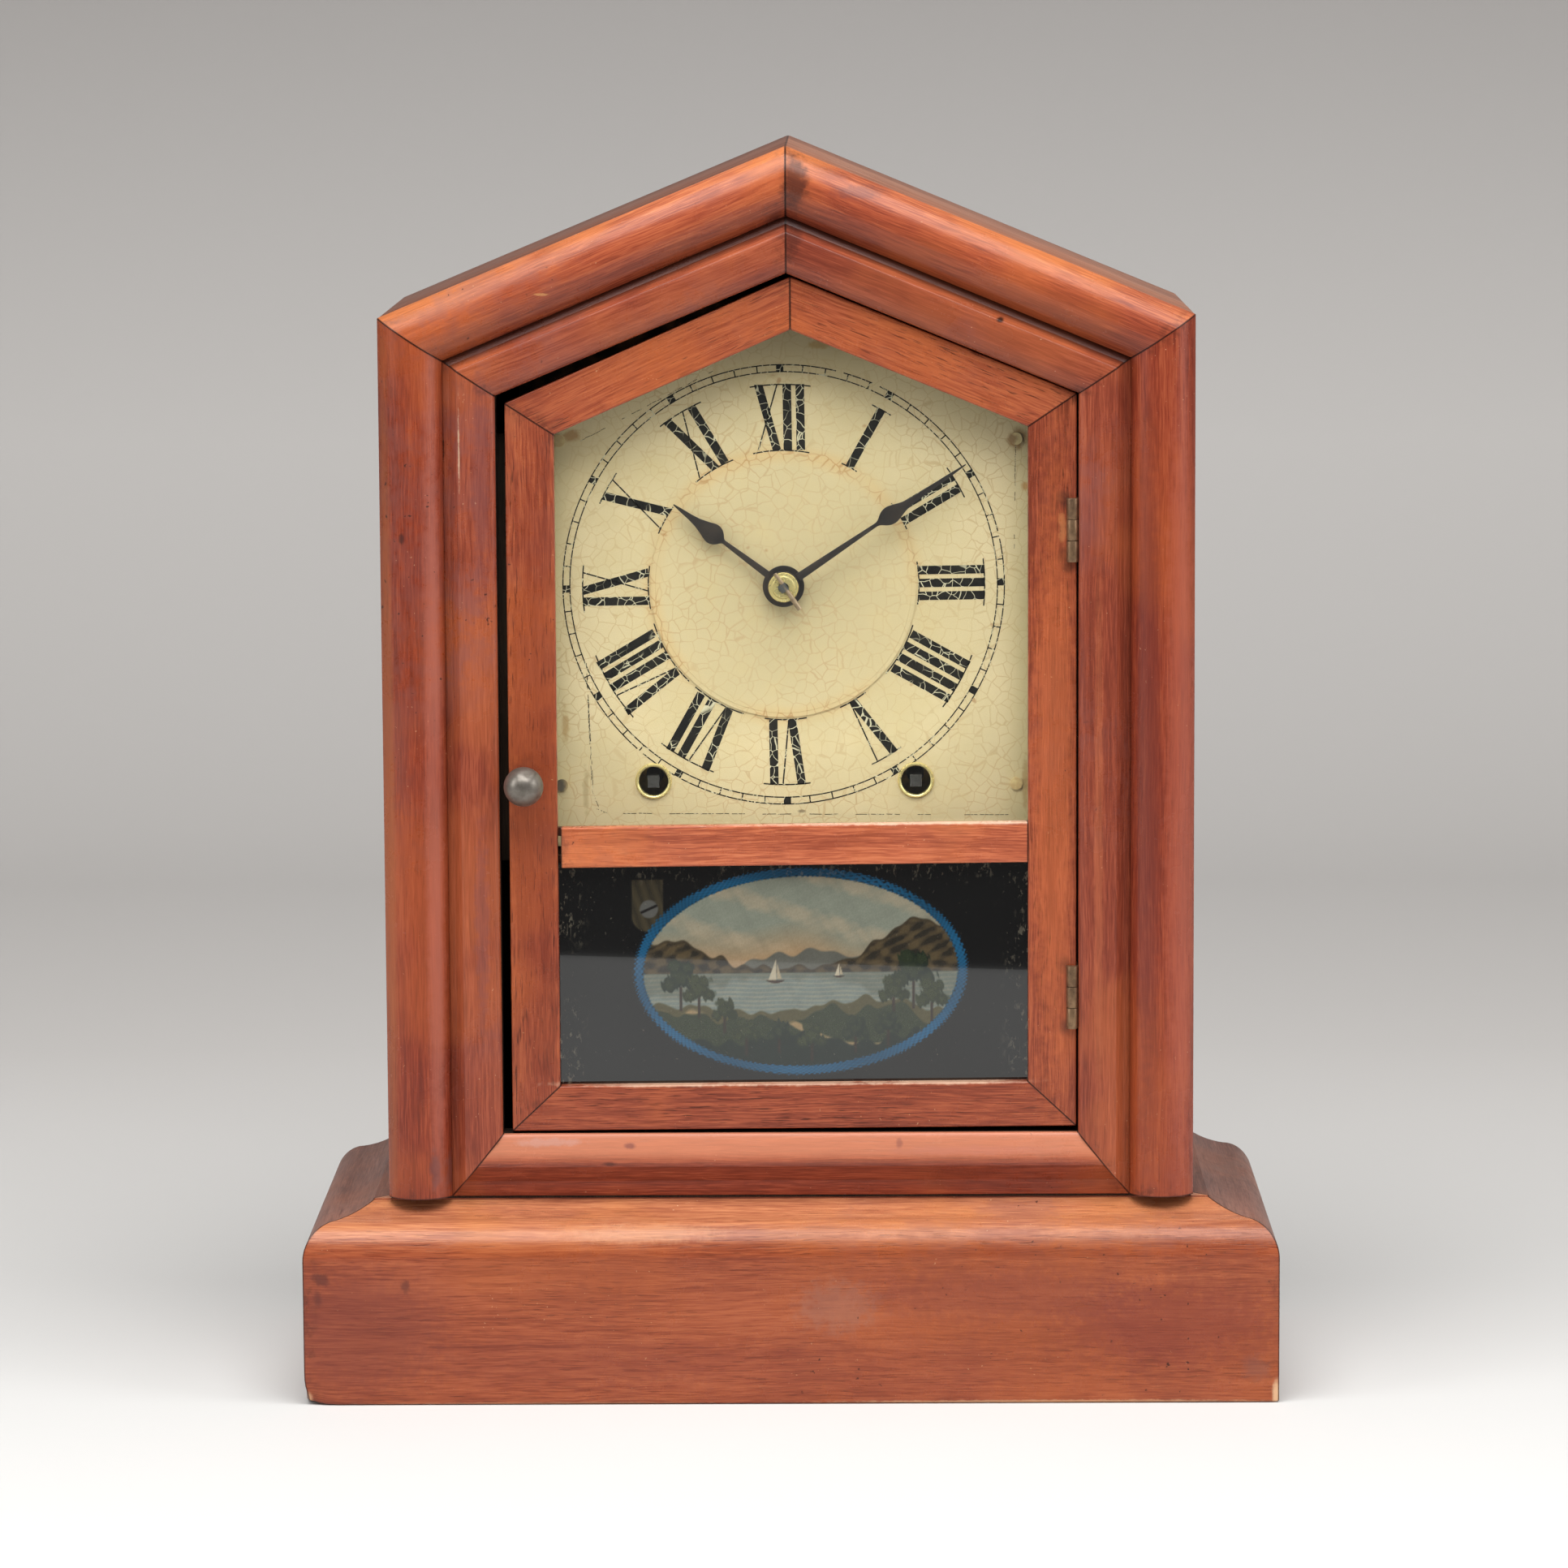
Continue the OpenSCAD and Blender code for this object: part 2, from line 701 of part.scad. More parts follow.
module dial_glass() {
    color("#dfe8e6", 0.35) pane(upper_light);
}

module tablet_glass() {
    color("#1a1c20") pane(lower_light);
}

// A closed ring of thin strips behind each pane
module glass_strips() {
    color("#6b4a38") for (light = [upper_light, lower_light])
        panel(glass_y + glass_t, door_back - 0.2) difference() {
            polygon(sunk(grow(light, rebate_w - glass_gap)));
            polygon(sunk(grow(light, rebate_w - glass_gap - strip_w)));
        }
}

// Hinges, knob and catch

knuckle_l = (hinge_l - 2 * knuckle_gap) / 3;
knuckle_up = knuckle_l / 2 + knuckle_gap;

module hinge_case_leaves() {
    color("#6e5d45") for (z = [hinge_upper_z, hinge_lower_z]) {
        for (z0 = [z - hinge_l / 2, z + knuckle_up]) {
            translate([hinge_x, hinge_y, z0]) cylinder(r = barrel_r, h = knuckle_l);
            block(open_x - leaf_t, open_x, hinge_y, hinge_y + barrel_r + leaf_gap, z0, z0 + knuckle_l);
        }
        translate([hinge_x, hinge_y, z - hinge_l / 2]) cylinder(r = hinge_pin_r, h = hinge_l);
        block(open_x - leaf_t, open_x, hinge_y + barrel_r + leaf_gap, hinge_y + barrel_r + leaf_d,
            z - hinge_l / 2, z + hinge_l / 2);
    }
}

module hinge_door_leaves() {
    leaf_x = hinge_x - barrel_r;
    color("#6e5d45") for (z = [hinge_upper_z, hinge_lower_z]) difference() {
        union() {
            translate([hinge_x, hinge_y, z - knuckle_l / 2]) cylinder(r = barrel_r, h = knuckle_l);
            block(leaf_x, leaf_x + leaf_t, hinge_y, hinge_y + barrel_r + leaf_gap, z - knuckle_l / 2, z + knuckle_l / 2);
            block(leaf_x, leaf_x + leaf_t, hinge_y + barrel_r + leaf_gap, hinge_y + barrel_r + leaf_d,
                z - hinge_l / 2, z + hinge_l / 2);
        }
        translate([hinge_x, hinge_y, z - hinge_l]) cylinder(r = hinge_pin_r + pin_gap, h = 2 * hinge_l);
    }
}

// A turned knob on a spindle, with the catch behind the stile hanging down at rest
module door_knob() {
    color("#8d857c") {
        translate([knob_x, door_y, knob_z]) rotate([90, 0, 0]) rotate_extrude() difference() {
            union() {
                square([knob_r * 0.62, 1.1]);
                square([knob_r * 0.42, 4]);
                translate([0, 3.2 + knob_r]) circle(knob_r);
            }
            translate([-20, -1]) square([20, 30]);
        }
        translate([knob_x, door_back + catch_gap + catch_t, knob_z]) rotate([90, 0, 0])
            cylinder(r = spindle_r, h = door_t + catch_gap + catch_t + 0.5);
        panel(door_back + catch_gap, door_back + catch_gap + catch_t) translate([knob_x, knob_z]) union() {
            circle(catch_w * 0.7);
            translate([-catch_w / 2, -catch_l]) square([catch_w, catch_l]);
        }
    }
}

// Dial

module dial_rails() {
    color("#8a6a50") difference() {
        for (x0 = [-in_x, rail_x])
            block(x0, x0 + in_x - rail_x, dial_y + dial_t, dial_y + dial_t + dial_rail_t,
                hand_z - dial_drop - 4, hand_z + 42);
        for (p = brads) translate([p[0], dial_y + dial_t + 6, p[1]]) rotate([90, 0, 0]) cylinder(r = 0.6, h = 8);
    }
}

brads = [for (sx = [-1, 1]) for (z = [hand_z - 55, hand_z + 40]) [sx * brad_x, z]];
wind_holes = [[hand_x - wind_x, hand_z - wind_down], [hand_x + wind_x, hand_z - wind_down]];

module dial() {
    color("#ddcda2") difference() {
        union() {
            wood_panel(dial_y, dial_y + dial_t, pointed(-dial_half, dial_half, hand_z - dial_drop,
                dial_shoulder, dial_shoulder, [0, hand_z + dial_rise]));
            at([0, 0], dial_y - centre_h, dial_y + dial_t / 2) circle(centre_r);
        }
        at([0, 0], dial_y - 2, dial_y + 2) circle(centre_hole_r);
        for (p = wind_holes) panel(dial_y - 2, dial_y + 2) translate(p) circle(wind_hole_r + eyelet_wall);
        for (p = brads) panel(dial_y - 2, dial_y + 2) translate(p) circle(0.6);
    }
}

module dial_eyelets() {
    color("#c8ae5a") for (p = wind_holes) difference() {
        union() {
            panel(dial_y - 0.6, dial_y) translate(p) circle(wind_hole_r + eyelet_wall + eyelet_flange);
            panel(dial_y - 0.3, dial_y + dial_t + 1) translate(p) circle(wind_hole_r + eyelet_wall);
        }
        panel(dial_y - 2, dial_y + dial_t + 2) translate(p) circle(wind_hole_r);
    }
}

// Four brads in the dial and four slotted screws in the feet of the movement
module screws() {
    color("#77726b") {
        for (p = brads) {
            panel(dial_y - 0.5, dial_y) translate(p) circle(brad_head_r);
            panel(dial_y, dial_y + dial_t + 6) translate(p) circle(0.6);
        }
        for (f = feet) {
            difference() {
                at([f[0], f[1]], out_y + plate_t - 1.6, out_y + plate_t) circle(screw_head_r);
                at([f[0], f[1]], out_y + plate_t - 3, out_y + plate_t - 0.9) square([6, 0.8], center = true);
            }
            at([f[0], f[1]], out_y + plate_t, out_y + plate_t + 12) circle(screw_r);
        }
    }
}

// Gears

// A spur gear's outline: tapered teeth on a round body
module gear_outline(m, n, turn, out = tooth_out, in = tooth_in) {
    step = 360 / n;
    root = pitch_r(m, n) - in * m;
    tip = pitch_r(m, n) + out * m;
    polygon([for (i = [0 : n - 1]) each [polar(root, turn + (i - 0.3) * step), polar(tip, turn + (i - 0.12) * step),
        polar(tip, turn + (i + 0.12) * step), polar(root, turn + (i + 0.3) * step)]]);
}

// A crossed-out wheel with four arms
module wheel_outline(m, n, turn, bore, hub) {
    root = pitch_r(m, n) - tooth_in * m;
    difference() {
        gear_outline(m, n, turn);
        difference() {
            circle(root - rim);
            circle(hub);
            for (a = [0, 90]) rotate(a + 20) square([2 * root, rim * 1.1], center = true);
        }
        circle(bore);
    }
}

// A lantern pinion: two round ends with wires between them, from y0 to y1 inside
module lantern(p, m, n, turn, y0, y1) {
    r = pitch_r(m, n);
    wire = wire_share * m;
    end_t = 0.8;
    for (y = [y0 - end_t, y1]) at(p, y, y + end_t) circle(r + wire + 0.25);
    for (i = [0 : n - 1]) at(p + polar(r, turn + i * 360 / n), y0 - 0.1, y1 + 0.1) circle(wire);
}

module arbor(p, r, y0, y1) {
    at(p, y0, y1) circle(r);
}

// An arbor with a pivot in each plate
module pivoted(p, r) {
    arbor(p, r, in_y + 0.3, out_y - 0.3);
    arbor(p, pivot_r, plate_y, out_y + plate_t);
}

// Movement frame

small_pivots = [time_p2, time_p3, strike_p2, strike_p3, fly_p];

module plate_outline() {
    difference() {
        translate([-plate_w / 2, -plate_down]) square([plate_w, plate_down + plate_up]);
        for (sx = [-1, 1]) {
            translate([sx * plate_w / 2, -wind_down + 44]) circle(11);
            translate([sx * 24, plate_up - 14]) circle(5);
        }
        translate([0, -plate_down]) circle(17);
        for (q = small_pivots) translate(q) circle(pivot_r + run);
        for (q = [time_p1, strike_p1]) translate(q) circle(wind_r + run);
        translate(escape_p) circle(pivot_r + run);
        circle(arbor_r + run);
    }
}

module plate_front() {
    color("#b8965a") {
        difference() {
            at([0, 0], plate_y, in_y) plate_outline();
            at(hammer_p, plate_y - 1, in_y + 1) circle(pivot_r + run);
            for (p = pillars) at(p, plate_y - 1, in_y + 1) circle(1.4);
        }
        arbor(verge_p, 0.9, plate_y - 5.1, plate_y);
        arbor(verge_p, 1.5, plate_y - 5.6, plate_y - 5.1);
        arbor(minute_p, 0.9, plate_y - 7.4, plate_y);
        arbor([verge_p[0], verge_p[1] + suspension_up + 2.25], 2.2, rod_y - 2.4, plate_y);
    }
}

// The back plate with its four riveted pillars and the feet that hold the movement in the case
module plate_back() {
    color("#b8965a") {
        difference() {
            at([0, 0], out_y, out_y + plate_t) plate_outline();
            at(hammer_p, out_y - 1, out_y + plate_t + 1) circle(1.2 + run);
        }
        for (p = pillars) {
            arbor(p, pillar_r, in_y, out_y);
            arbor(p, 1.4, plate_y - 1, in_y);
        }
        movement_feet();
    }
}

// The cock that carries the front pivot of the escape wheel
module escape_bridge() {
    p = escape_p;
    foot = p + polar(15.2, -80);
    y0 = plate_y - 5.6;
    color("#b8965a") difference() {
        union() {
            at([0, 0], y0, y0 + 1.2) hull() {
                translate(p) circle(2.4, $fn = 24);
                translate(foot) circle(3, $fn = 24);
            }
            at(foot, y0 + 1, plate_y) circle(2.6);
        }
        at(p, y0 - 1, y0 + 2) circle(pivot_r + run);
    }
}

module movement_feet() {
    for (f = feet) difference() {
        at([f[0], f[1] + f[2] * (screw_head_r + 2.3 - foot_l / 2)], out_y + plate_t, out_y + plate_t + foot_t)
            square([foot_w, foot_l], center = true);
        at([f[0], f[1]], out_y, out_y + 6) circle(screw_r);
    }
}

module seat_blocks() {
    y0 = out_y + plate_t + foot_t;
    color("#8a6a50") for (f = feet) difference() {
        at([f[0], f[1]], y0, back_y - back_t) square([block_w, block_h], center = true);
        at([f[0], f[1]], y0 - 1, out_y + plate_t + 12) circle(screw_r);
    }
}

// Outline of a wound strip from r0 to r1
module spiral(r0, r1, turns, t, turn, way) {
    steps = 20 * turns;
    line = [for (i = [0 : steps]) let (s = i / steps) [r0 + (r1 - r0) * s, turn + way * 360 * turns * s]];
    polygon(concat([for (q = line) polar(q[0] - t / 2, q[1])],
        [for (i = [steps : -1 : 0]) polar(line[i][0] + t / 2, line[i][1])]));
}

module mainsprings() {
    color("#5a5f68") for (sx = [-1, 1])
        at([sx * wind_x, -wind_down], spring_y, spring_y + spring_w)
            spiral(spring_r0, spring_r1, spring_turns, spring_t, sx < 0 ? 180 : 0, sx);
}

// Trains

ratchet_n = 16;
ratchet_r = 7.5;

// The great wheel turns on the winding arbor and carries the click
module great_wheel(p, sx) {
    y0 = great_y;
    at(p, y0, y0 + great_t) wheel_outline(great_m, great_n, 0, wind_r + run, 16);
    at(p, y0 - 1.2, y0) polygon([for (q = [[15, 204], [12.6, 206], [ratchet_r + 0.3, 172], [9.6, 170], [15, 194]])
        polar(q[0], sx > 0 ? q[1] : 180 - q[1])]);
}

module great_wheel_time() {
    color("#c2a05e") great_wheel(time_p1, 1);
}

module great_wheel_strike() {
    color("#c2a05e") great_wheel(strike_p1, -1);
}

module winding_arbor(p, sx) {
    y0 = great_y - 1.4;
    step = 360 / ratchet_n;
    at(p, y0, y0 + 1.2) polygon([for (i = [0 : ratchet_n - 1])
        each [polar(ratchet_r, sx * i * step), polar(ratchet_r - 1.3, sx * (i * step + 2))]]);
    arbor(p, wind_r, plate_y - 3, out_y + plate_t);
    at(p, dial_y - 1.5, plate_y - 3) square(square_w, center = true);
}

module winding_arbor_time() {
    color("#8d8d92") winding_arbor(time_p1, 1);
}

module winding_arbor_strike() {
    color("#8d8d92") winding_arbor(strike_p1, -1);
}

second_turn = mesh_turn(time_p1, great_n, 0, time_p2, pinion_n);
third_turn = mesh_turn(time_p2, second_n, second_turn, time_p3, third_pinion_n);
// The centre wheel is turned so that the third wheel's pinion also meshes with it
centre_turn = angle(time_p3) + (third_turn - 180 / third_pinion_n - 180 - angle(time_p3)) * -third_pinion_n / centre_n;
escape_pinion_turn = mesh_turn(time_p3, third_n, third_turn, escape_p, escape_pinion_n);

module second_wheel() {
    color("#c2a05e") {
        lantern(time_p2, great_m, pinion_n, second_turn, great_y - 0.5, great_y + great_t + 0.5);
        at(time_p2, second_y, second_y + wheel_t) wheel_outline(train_m, second_n, second_turn, 0, 4);
        pivoted(time_p2, 1.3);
    }
}

module centre_wheel() {
    color("#c2a05e") {
        at([0, 0], centre_y, centre_y + wheel_t) wheel_outline(train_m, centre_n, centre_turn, arbor_r + run, 5);
        at([0, 0], centre_y, centre_y + wheel_t + 3) difference() {
            circle(3.2);
            circle(arbor_r + run);
        }
    }
}

module third_wheel() {
    color("#c2a05e") {
        lantern(time_p3, train_m, third_pinion_n, third_turn, second_y - 0.9, centre_y + wheel_t + 0.9);
        at(time_p3, third_y, third_y + wheel_t) wheel_outline(third_m, third_n, third_turn, 0, 3);
        pivoted(time_p3, 0.8);
    }
}

escape_step = 360 / escape_n;
escape_turn = verge_turn - 45 + 0.75 * escape_step;

module escape_wheel() {
    root = escape_r - 1.6;
    color("#c2a05e") {
        at(escape_p, escape_y, escape_y + escape_t) difference() {
            polygon([for (i = [0 : escape_n - 1]) let (a = escape_turn + i * escape_step)
                each [polar(root, a - 0.28 * escape_step), polar(escape_r, a - 0.05 * escape_step),
                polar(escape_r, a + 0.05 * escape_step), polar(root, a + 0.28 * escape_step)]]);
            difference() {
                circle(root - 1.2);
                circle(2.6);
                for (a = [0, 90]) rotate(a + 10) square([2 * root, 1.5], center = true);
            }
        }
        lantern(escape_p, third_m, escape_pinion_n, escape_pinion_turn, third_y - 0.8, third_y + wheel_t + 0.8);
        arbor(escape_p, 0.6, in_y + 0.3, out_y - 0.3);
        arbor(escape_p, pivot_r, plate_y - 5.6, in_y + 0.4);
        arbor(escape_p, pivot_r, out_y - 0.4, out_y + plate_t);
    }
}

// One arm of the verge, drawn along X from its pivot, with its tip towards +Y
module verge_arm() {
    l = escape_r;
    tip = -0.15;
    polygon([[0, 1.2], [l - 1, -1.5], [l - 0.2, tip], [l + 0.2, tip], [l + 0.8, -1.9], [l - 0.4, -2.9], [0, -1.4]]);
}

// The bent strip that catches the escape wheel, with the wire that the pendulum pushes
module verge() {
    y0 = plate_y - 3.6;
    arm_a = angle(escape_p + polar(escape_r, verge_turn + 45) - verge_p);
    arm_b = angle(escape_p + polar(escape_r, verge_turn - 45) - verge_p);
    color("#8d8d92") difference() {
        union() {
            at(verge_p, y0, y0 + 2.4) {
                circle(2.2);
                rotate(arm_a) verge_arm();
                rotate(arm_b) mirror([0, 1]) verge_arm();
            }
            at(verge_p, y0 - 1, y0 + 0.2) {
                circle(2.2);
                translate([-0.7, -crutch_drop - 0.6]) square([1.4, crutch_drop + 0.6]);
            }
            translate([verge_x, 0, verge_z - crutch_drop]) {
                block(-0.7, 0.7, rod_y + 1.2, y0, -0.6, 0.6);
                translate([0, rod_y, -0.6]) cylinder(r = rod_r + 1.2, h = 1.2);
            }
        }
        at(verge_p, y0 - 3, y0 + 5) circle(0.9 + run);
        translate([verge_x, rod_y, verge_z - crutch_drop - 2]) cylinder(r = rod_r + 0.35, h = 4);
    }
}

// Spring strip, rod, bob and rating nut
module pendulum() {
    lens_r = (pow(bob_r, 2) + pow(bob_t / 2, 2)) / bob_t;
    lens_a = asin(bob_r / lens_r);
    side = [for (i = [0 : 6]) let (a = lens_a * i / 6) [lens_r * sin(a), lens_r * (cos(a) - cos(lens_a)) + 0.3]];
    strip = 5.5;
    color("#b0894e") {
        block(verge_x - 0.1, verge_x + 0.1, rod_y - 1.5, rod_y + 1.5, pivot_z - strip, pivot_z);
        translate([verge_x, rod_y, bob_z - bob_r - 5]) cylinder(r = rod_r, h = pivot_z - strip + 1 - bob_z + bob_r + 5);
        translate([verge_x, rod_y, bob_z]) rotate([90, 0, 0]) rotate_extrude()
            polygon(concat(side, [for (i = [6 : -1 : 0]) [side[i][0], -side[i][1]]]));
        translate([verge_x, rod_y, bob_z - bob_r - 2.6]) cylinder(r = 2.6, h = 2.4);
    }
}

// Motion work

cannon_turn = -minute_at;
minute_turn = let (line = 200) line + 180 - (cannon_turn - line) * cannon_n / minute_n + 180 / minute_n;
minute_pinion_turn = 0;
hour_turn = let (line = 20) line + 180 - (minute_pinion_turn - line) * minute_pinion_n / hour_n + 180 / hour_n;

module minute_wheel() {
    color("#c2a05e") difference() {
        union() {
            at(minute_p, work_y, work_y + work_t) gear_outline(work_m, minute_n, minute_turn, 0.75);
            at(minute_p, work_y - 1, work_y) circle(pitch_r(hour_m, minute_pinion_n) - 1);
            at(minute_p, hour_wheel_y - 0.2, work_y - 0.9) gear_outline(hour_m, minute_pinion_n, minute_pinion_turn, 0.75);
        }
        at(minute_p, hour_wheel_y - 2, plate_y) circle(0.9 + run);
    }
}

module hour_wheel() {
    color("#c2a05e") difference() {
        union() {
            at([0, 0], hour_wheel_y, hour_wheel_y + work_t) gear_outline(hour_m, hour_n, hour_turn, 0.75);
            at([0, 0], hour_y - 0.4, hour_wheel_y + work_t + 0.6) circle(pipe_r);
        }
        at([0, 0], hour_y - 2, plate_y) circle(arbor_r + run);
    }
}

// The arbor that carries the minute hand, with its pinion and its square end
module centre_arbor() {
    color("#8d8d92") difference() {
        union() {
            arbor([0, 0], arbor_r, minute_y + 0.9, out_y + plate_t);
            at([0, 0], work_y, work_y + work_t + 0.4) gear_outline(work_m, cannon_n, cannon_turn, 0.75);
            at([0, 0], square_end, minute_y + 1) rotate(-minute_at) square(2.2, center = true);
        }
        taper_pin();
    }
}

module taper_pin() {
    translate([hand_x, minute_y - 1.45, hand_z]) rotate([0, 54.9 - 90, 0]) translate([0.6, 0, -0.2])
        rotate([0, 90, 0]) translate([0, 0, -taper_l / 2]) cylinder(r1 = 0.45, r2 = 0.55, h = taper_l);
}

// Outline of a hand along +Y from a list of distances and half widths
module blade(points) {
    n = len(points);
    polygon(concat([for (q = points) [q[1], q[0]]], [for (i = [n - 1 : -1 : 0]) [-points[i][1], points[i][0]]]));
}

module hour_hand() {
    l = hour_l;
    color("#33343a") at([0, 0], hour_y, hour_y + hand_t) rotate(-hour_at) difference() {
        union() {
            circle(hour_hub_r);
            blade([[4, 0.5], [0.53 * l, 0.95], [0.56 * l, 1.9], [0.6 * l, 2.75], [0.64 * l, 2.95], [0.69 * l, 2.6],
                [0.76 * l, 1.75], [0.84 * l, 0.95], [0.92 * l, 0.45], [l, 0.1]]);
        }
        circle(pipe_r);
    }
}

module minute_hand() {
    l = minute_l;
    color("#33343a") at([0, 0], minute_y, minute_y + hand_t) rotate(-minute_at) difference() {
        union() {
            circle(collet_r + 0.3);
            blade([[3, 0.5], [0.52 * l, 0.85], [0.54 * l, 1.6], [0.57 * l, 2.3], [0.6 * l, 2.45], [0.64 * l, 2.2],
                [0.7 * l, 1.55], [0.78 * l, 0.9], [0.88 * l, 0.45], [l, 0.12]]);
        }
        square(2.2, center = true);
    }
}

// The domed washer over the minute hand and the pin that holds it
module hand_collet() {
    color("#c8ae5a") {
        difference() {
            union() {
                at([0, 0], minute_y - 0.5, minute_y) circle(collet_r);
                at([0, 0], minute_y - 0.9, minute_y - 0.4) circle(collet_r * 0.72);
            }
            at([0, 0], minute_y - 3, minute_y + 1) rotate(-minute_at) square(2.2, center = true);
        }
        taper_pin();
    }
}

// Strike train

strike_turn = mesh_turn(strike_p1, great_n, 0, strike_p2, pinion_n);
strike_third_turn = mesh_turn(strike_p2, strike_n, strike_turn, strike_p3, pinion_n);
fly_turn = mesh_turn(strike_p3, strike_third_n, strike_third_turn, fly_p, pinion_n);
pins_n = 8;
pin_circle = 12.8;
lift_pin_r = 0.5;

module strike_pin_wheel() {
    color("#c2a05e") {
        lantern(strike_p2, great_m, pinion_n, strike_turn, great_y - 0.5, great_y + great_t + 0.5);
        at(strike_p2, second_y, second_y + wheel_t) wheel_outline(train_m, strike_n, strike_turn, 0, 4);
        for (i = [0 : pins_n - 1])
            arbor(strike_p2 + polar(pin_circle, i * 360 / pins_n), lift_pin_r, second_y + 0.6, second_y + 3.6);
        pivoted(strike_p2, 1.3);
    }
}

module strike_third_wheel() {
    color("#c2a05e") {
        lantern(strike_p3, train_m, pinion_n, strike_third_turn, second_y - 0.9, second_y + wheel_t + 0.9);
        at(strike_p3, strike_third_y, strike_third_y + wheel_t) wheel_outline(fly_m, strike_third_n, strike_third_turn, 0, 3);
        pivoted(strike_p3, 0.9);
    }
}

module strike_fly() {
    color("#c2a05e") {
        lantern(fly_p, fly_m, pinion_n, fly_turn, strike_third_y - 0.8, strike_third_y + wheel_t + 0.8);
        at(fly_p, strike_third_y + 4.5, out_y - 2) rotate(35) square([14, 0.6], center = true);
        pivoted(fly_p, 0.8);
    }
}

module strike_hammer() {
    tail = strike_p2 + polar(pin_circle + lift_pin_r + 0.3, angle(hammer_p - strike_p2));
    tail_y = second_y + 1.9;
    pivot = [hand_x + hammer_p[0], hand_z + hammer_p[1]];
    color("#8d8d92") {
        arbor(hammer_p, 1.2, in_y + 0.3, gong_y + 1.6);
        arbor(hammer_p, pivot_r, plate_y, in_y + 0.4);
        at([0, 0], tail_y, tail_y + 1.4) polygon([tail, tail + [1.6, 0.3], hammer_p + [1.1, 0.5], hammer_p + [-1.1, -0.5]]);
        panel(gong_y - 0.7, gong_y + 0.7) polygon([pivot + [-0.8, 0.3], hammer_head_p + [-0.8, 0.3],
            hammer_head_p + [0.8, -0.3], pivot + [0.8, -0.3]]);
        translate([hammer_head_p[0], gong_y, hammer_head_p[1]]) rotate([90, 0, 0])
            translate([0, 0, -hammer_head_l / 2]) cylinder(r = hammer_r, h = hammer_head_l);
    }
}

// A wound strip held in a cast boss that stands on the back board
module gong() {
    color("#4a4d52") {
        at_gong(gong_y - gong_d / 2, gong_y + gong_d / 2) spiral(gong_r0, gong_r, gong_turns, gong_wire, 0, 1);
        at_gong(gong_y - 3, back_y - back_t - 2) circle(gong_boss_r);
        at_gong(back_y - back_t - 2, back_y - back_t) circle(gong_boss_r + 5);
    }
}

module at_gong(y0, y1) {
    panel(y0, y1) translate(gong_p) children();
}

base_front();
base_sides();
base_back_rail();
case_floor();
glue_blocks();
side_boards();
roof_boards();
back_board();
front_frame();
column_left();
column_right();
roof_moulding_left();
roof_moulding_right();
surround_left();
surround_right();
surround_bottom();
surround_top_left();
surround_top_right();
dial_rails();
dial();
dial_eyelets();
screws();
hinge_case_leaves();
door_stile_left();
door_stile_right();
door_rail_top_left();
door_rail_top_right();
door_rail_middle();
door_rail_bottom();
dial_glass();
tablet_glass();
glass_strips();
hinge_door_leaves();
door_knob();
plate_front();
plate_back();
escape_bridge();
seat_blocks();
mainsprings();
great_wheel_time();
great_wheel_strike();
winding_arbor_time();
winding_arbor_strike();
centre_wheel();
second_wheel();
third_wheel();
escape_wheel();
verge();
pendulum();
minute_wheel();
hour_wheel();
centre_arbor();
hour_hand();
minute_hand();
hand_collet();
strike_pin_wheel();
strike_third_wheel();
strike_fly();
strike_hammer();
gong();
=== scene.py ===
from contextlib import contextmanager

import bmesh
import bpy
import numpy as np
from mathutils import Matrix, Vector
from numpy import cos, exp, pi, radians, sin


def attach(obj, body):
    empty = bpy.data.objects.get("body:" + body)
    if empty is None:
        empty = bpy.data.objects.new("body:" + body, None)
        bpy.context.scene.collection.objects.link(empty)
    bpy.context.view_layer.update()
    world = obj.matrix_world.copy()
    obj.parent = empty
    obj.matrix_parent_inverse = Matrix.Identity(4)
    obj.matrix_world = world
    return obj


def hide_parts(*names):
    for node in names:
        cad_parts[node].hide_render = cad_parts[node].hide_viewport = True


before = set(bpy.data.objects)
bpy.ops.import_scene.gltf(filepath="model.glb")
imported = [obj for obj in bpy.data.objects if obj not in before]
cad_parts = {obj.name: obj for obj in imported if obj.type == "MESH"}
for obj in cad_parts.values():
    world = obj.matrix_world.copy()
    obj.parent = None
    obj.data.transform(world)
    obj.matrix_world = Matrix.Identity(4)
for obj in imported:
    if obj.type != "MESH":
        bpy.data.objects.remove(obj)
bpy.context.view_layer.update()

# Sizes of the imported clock, in millimetres, as in its source
CASE_Y, DOOR_Y, DOOR_BACK, DIAL_Y = -40.0, -40.5, -32.0, -27.0
FRONT_Y, BACK_Y = -58.0, 58.0
BASE_W, BASE_T, NOSE_D, NOSE_Z, STEP = 267.0, 23.5, 8.5, 49.8, 0.45
HOLLOW_FROM, HOLLOW_TO, HOLLOW_D = 8, 34, 9.8
HOLLOW_R = HOLLOW_D / (sin(radians(HOLLOW_TO)) - sin(radians(HOLLOW_FROM)))
BASE_TOP = NOSE_Z + HOLLOW_R * (cos(radians(HOLLOW_FROM)) - cos(radians(HOLLOW_TO))) + STEP
HALF_W, CASE_H, PITCH = 110.7, 342.4, radians(22.5)
FOOT_Z, MOULD_W, SURROUND_W, SURROUND_LOW_W = BASE_TOP + 0.7, 17.4, 14.2, 17.4
HAND = np.array([-1.2, 222.1])
WIND_X, WIND_Z = 36.1, 54
HOUR_Y, MINUTE_Y = -30.0, -32.4
KNOB = np.array([-72.0, 169.6])
MITRE_GAP = 0.06
TAN = np.tan(PITCH)


def roof_z(x, depth=0.0):
    """Height of a line under the roof's face, at x and at a depth square to the slope."""
    return CASE_H - abs(x) * TAN - depth / cos(PITCH)


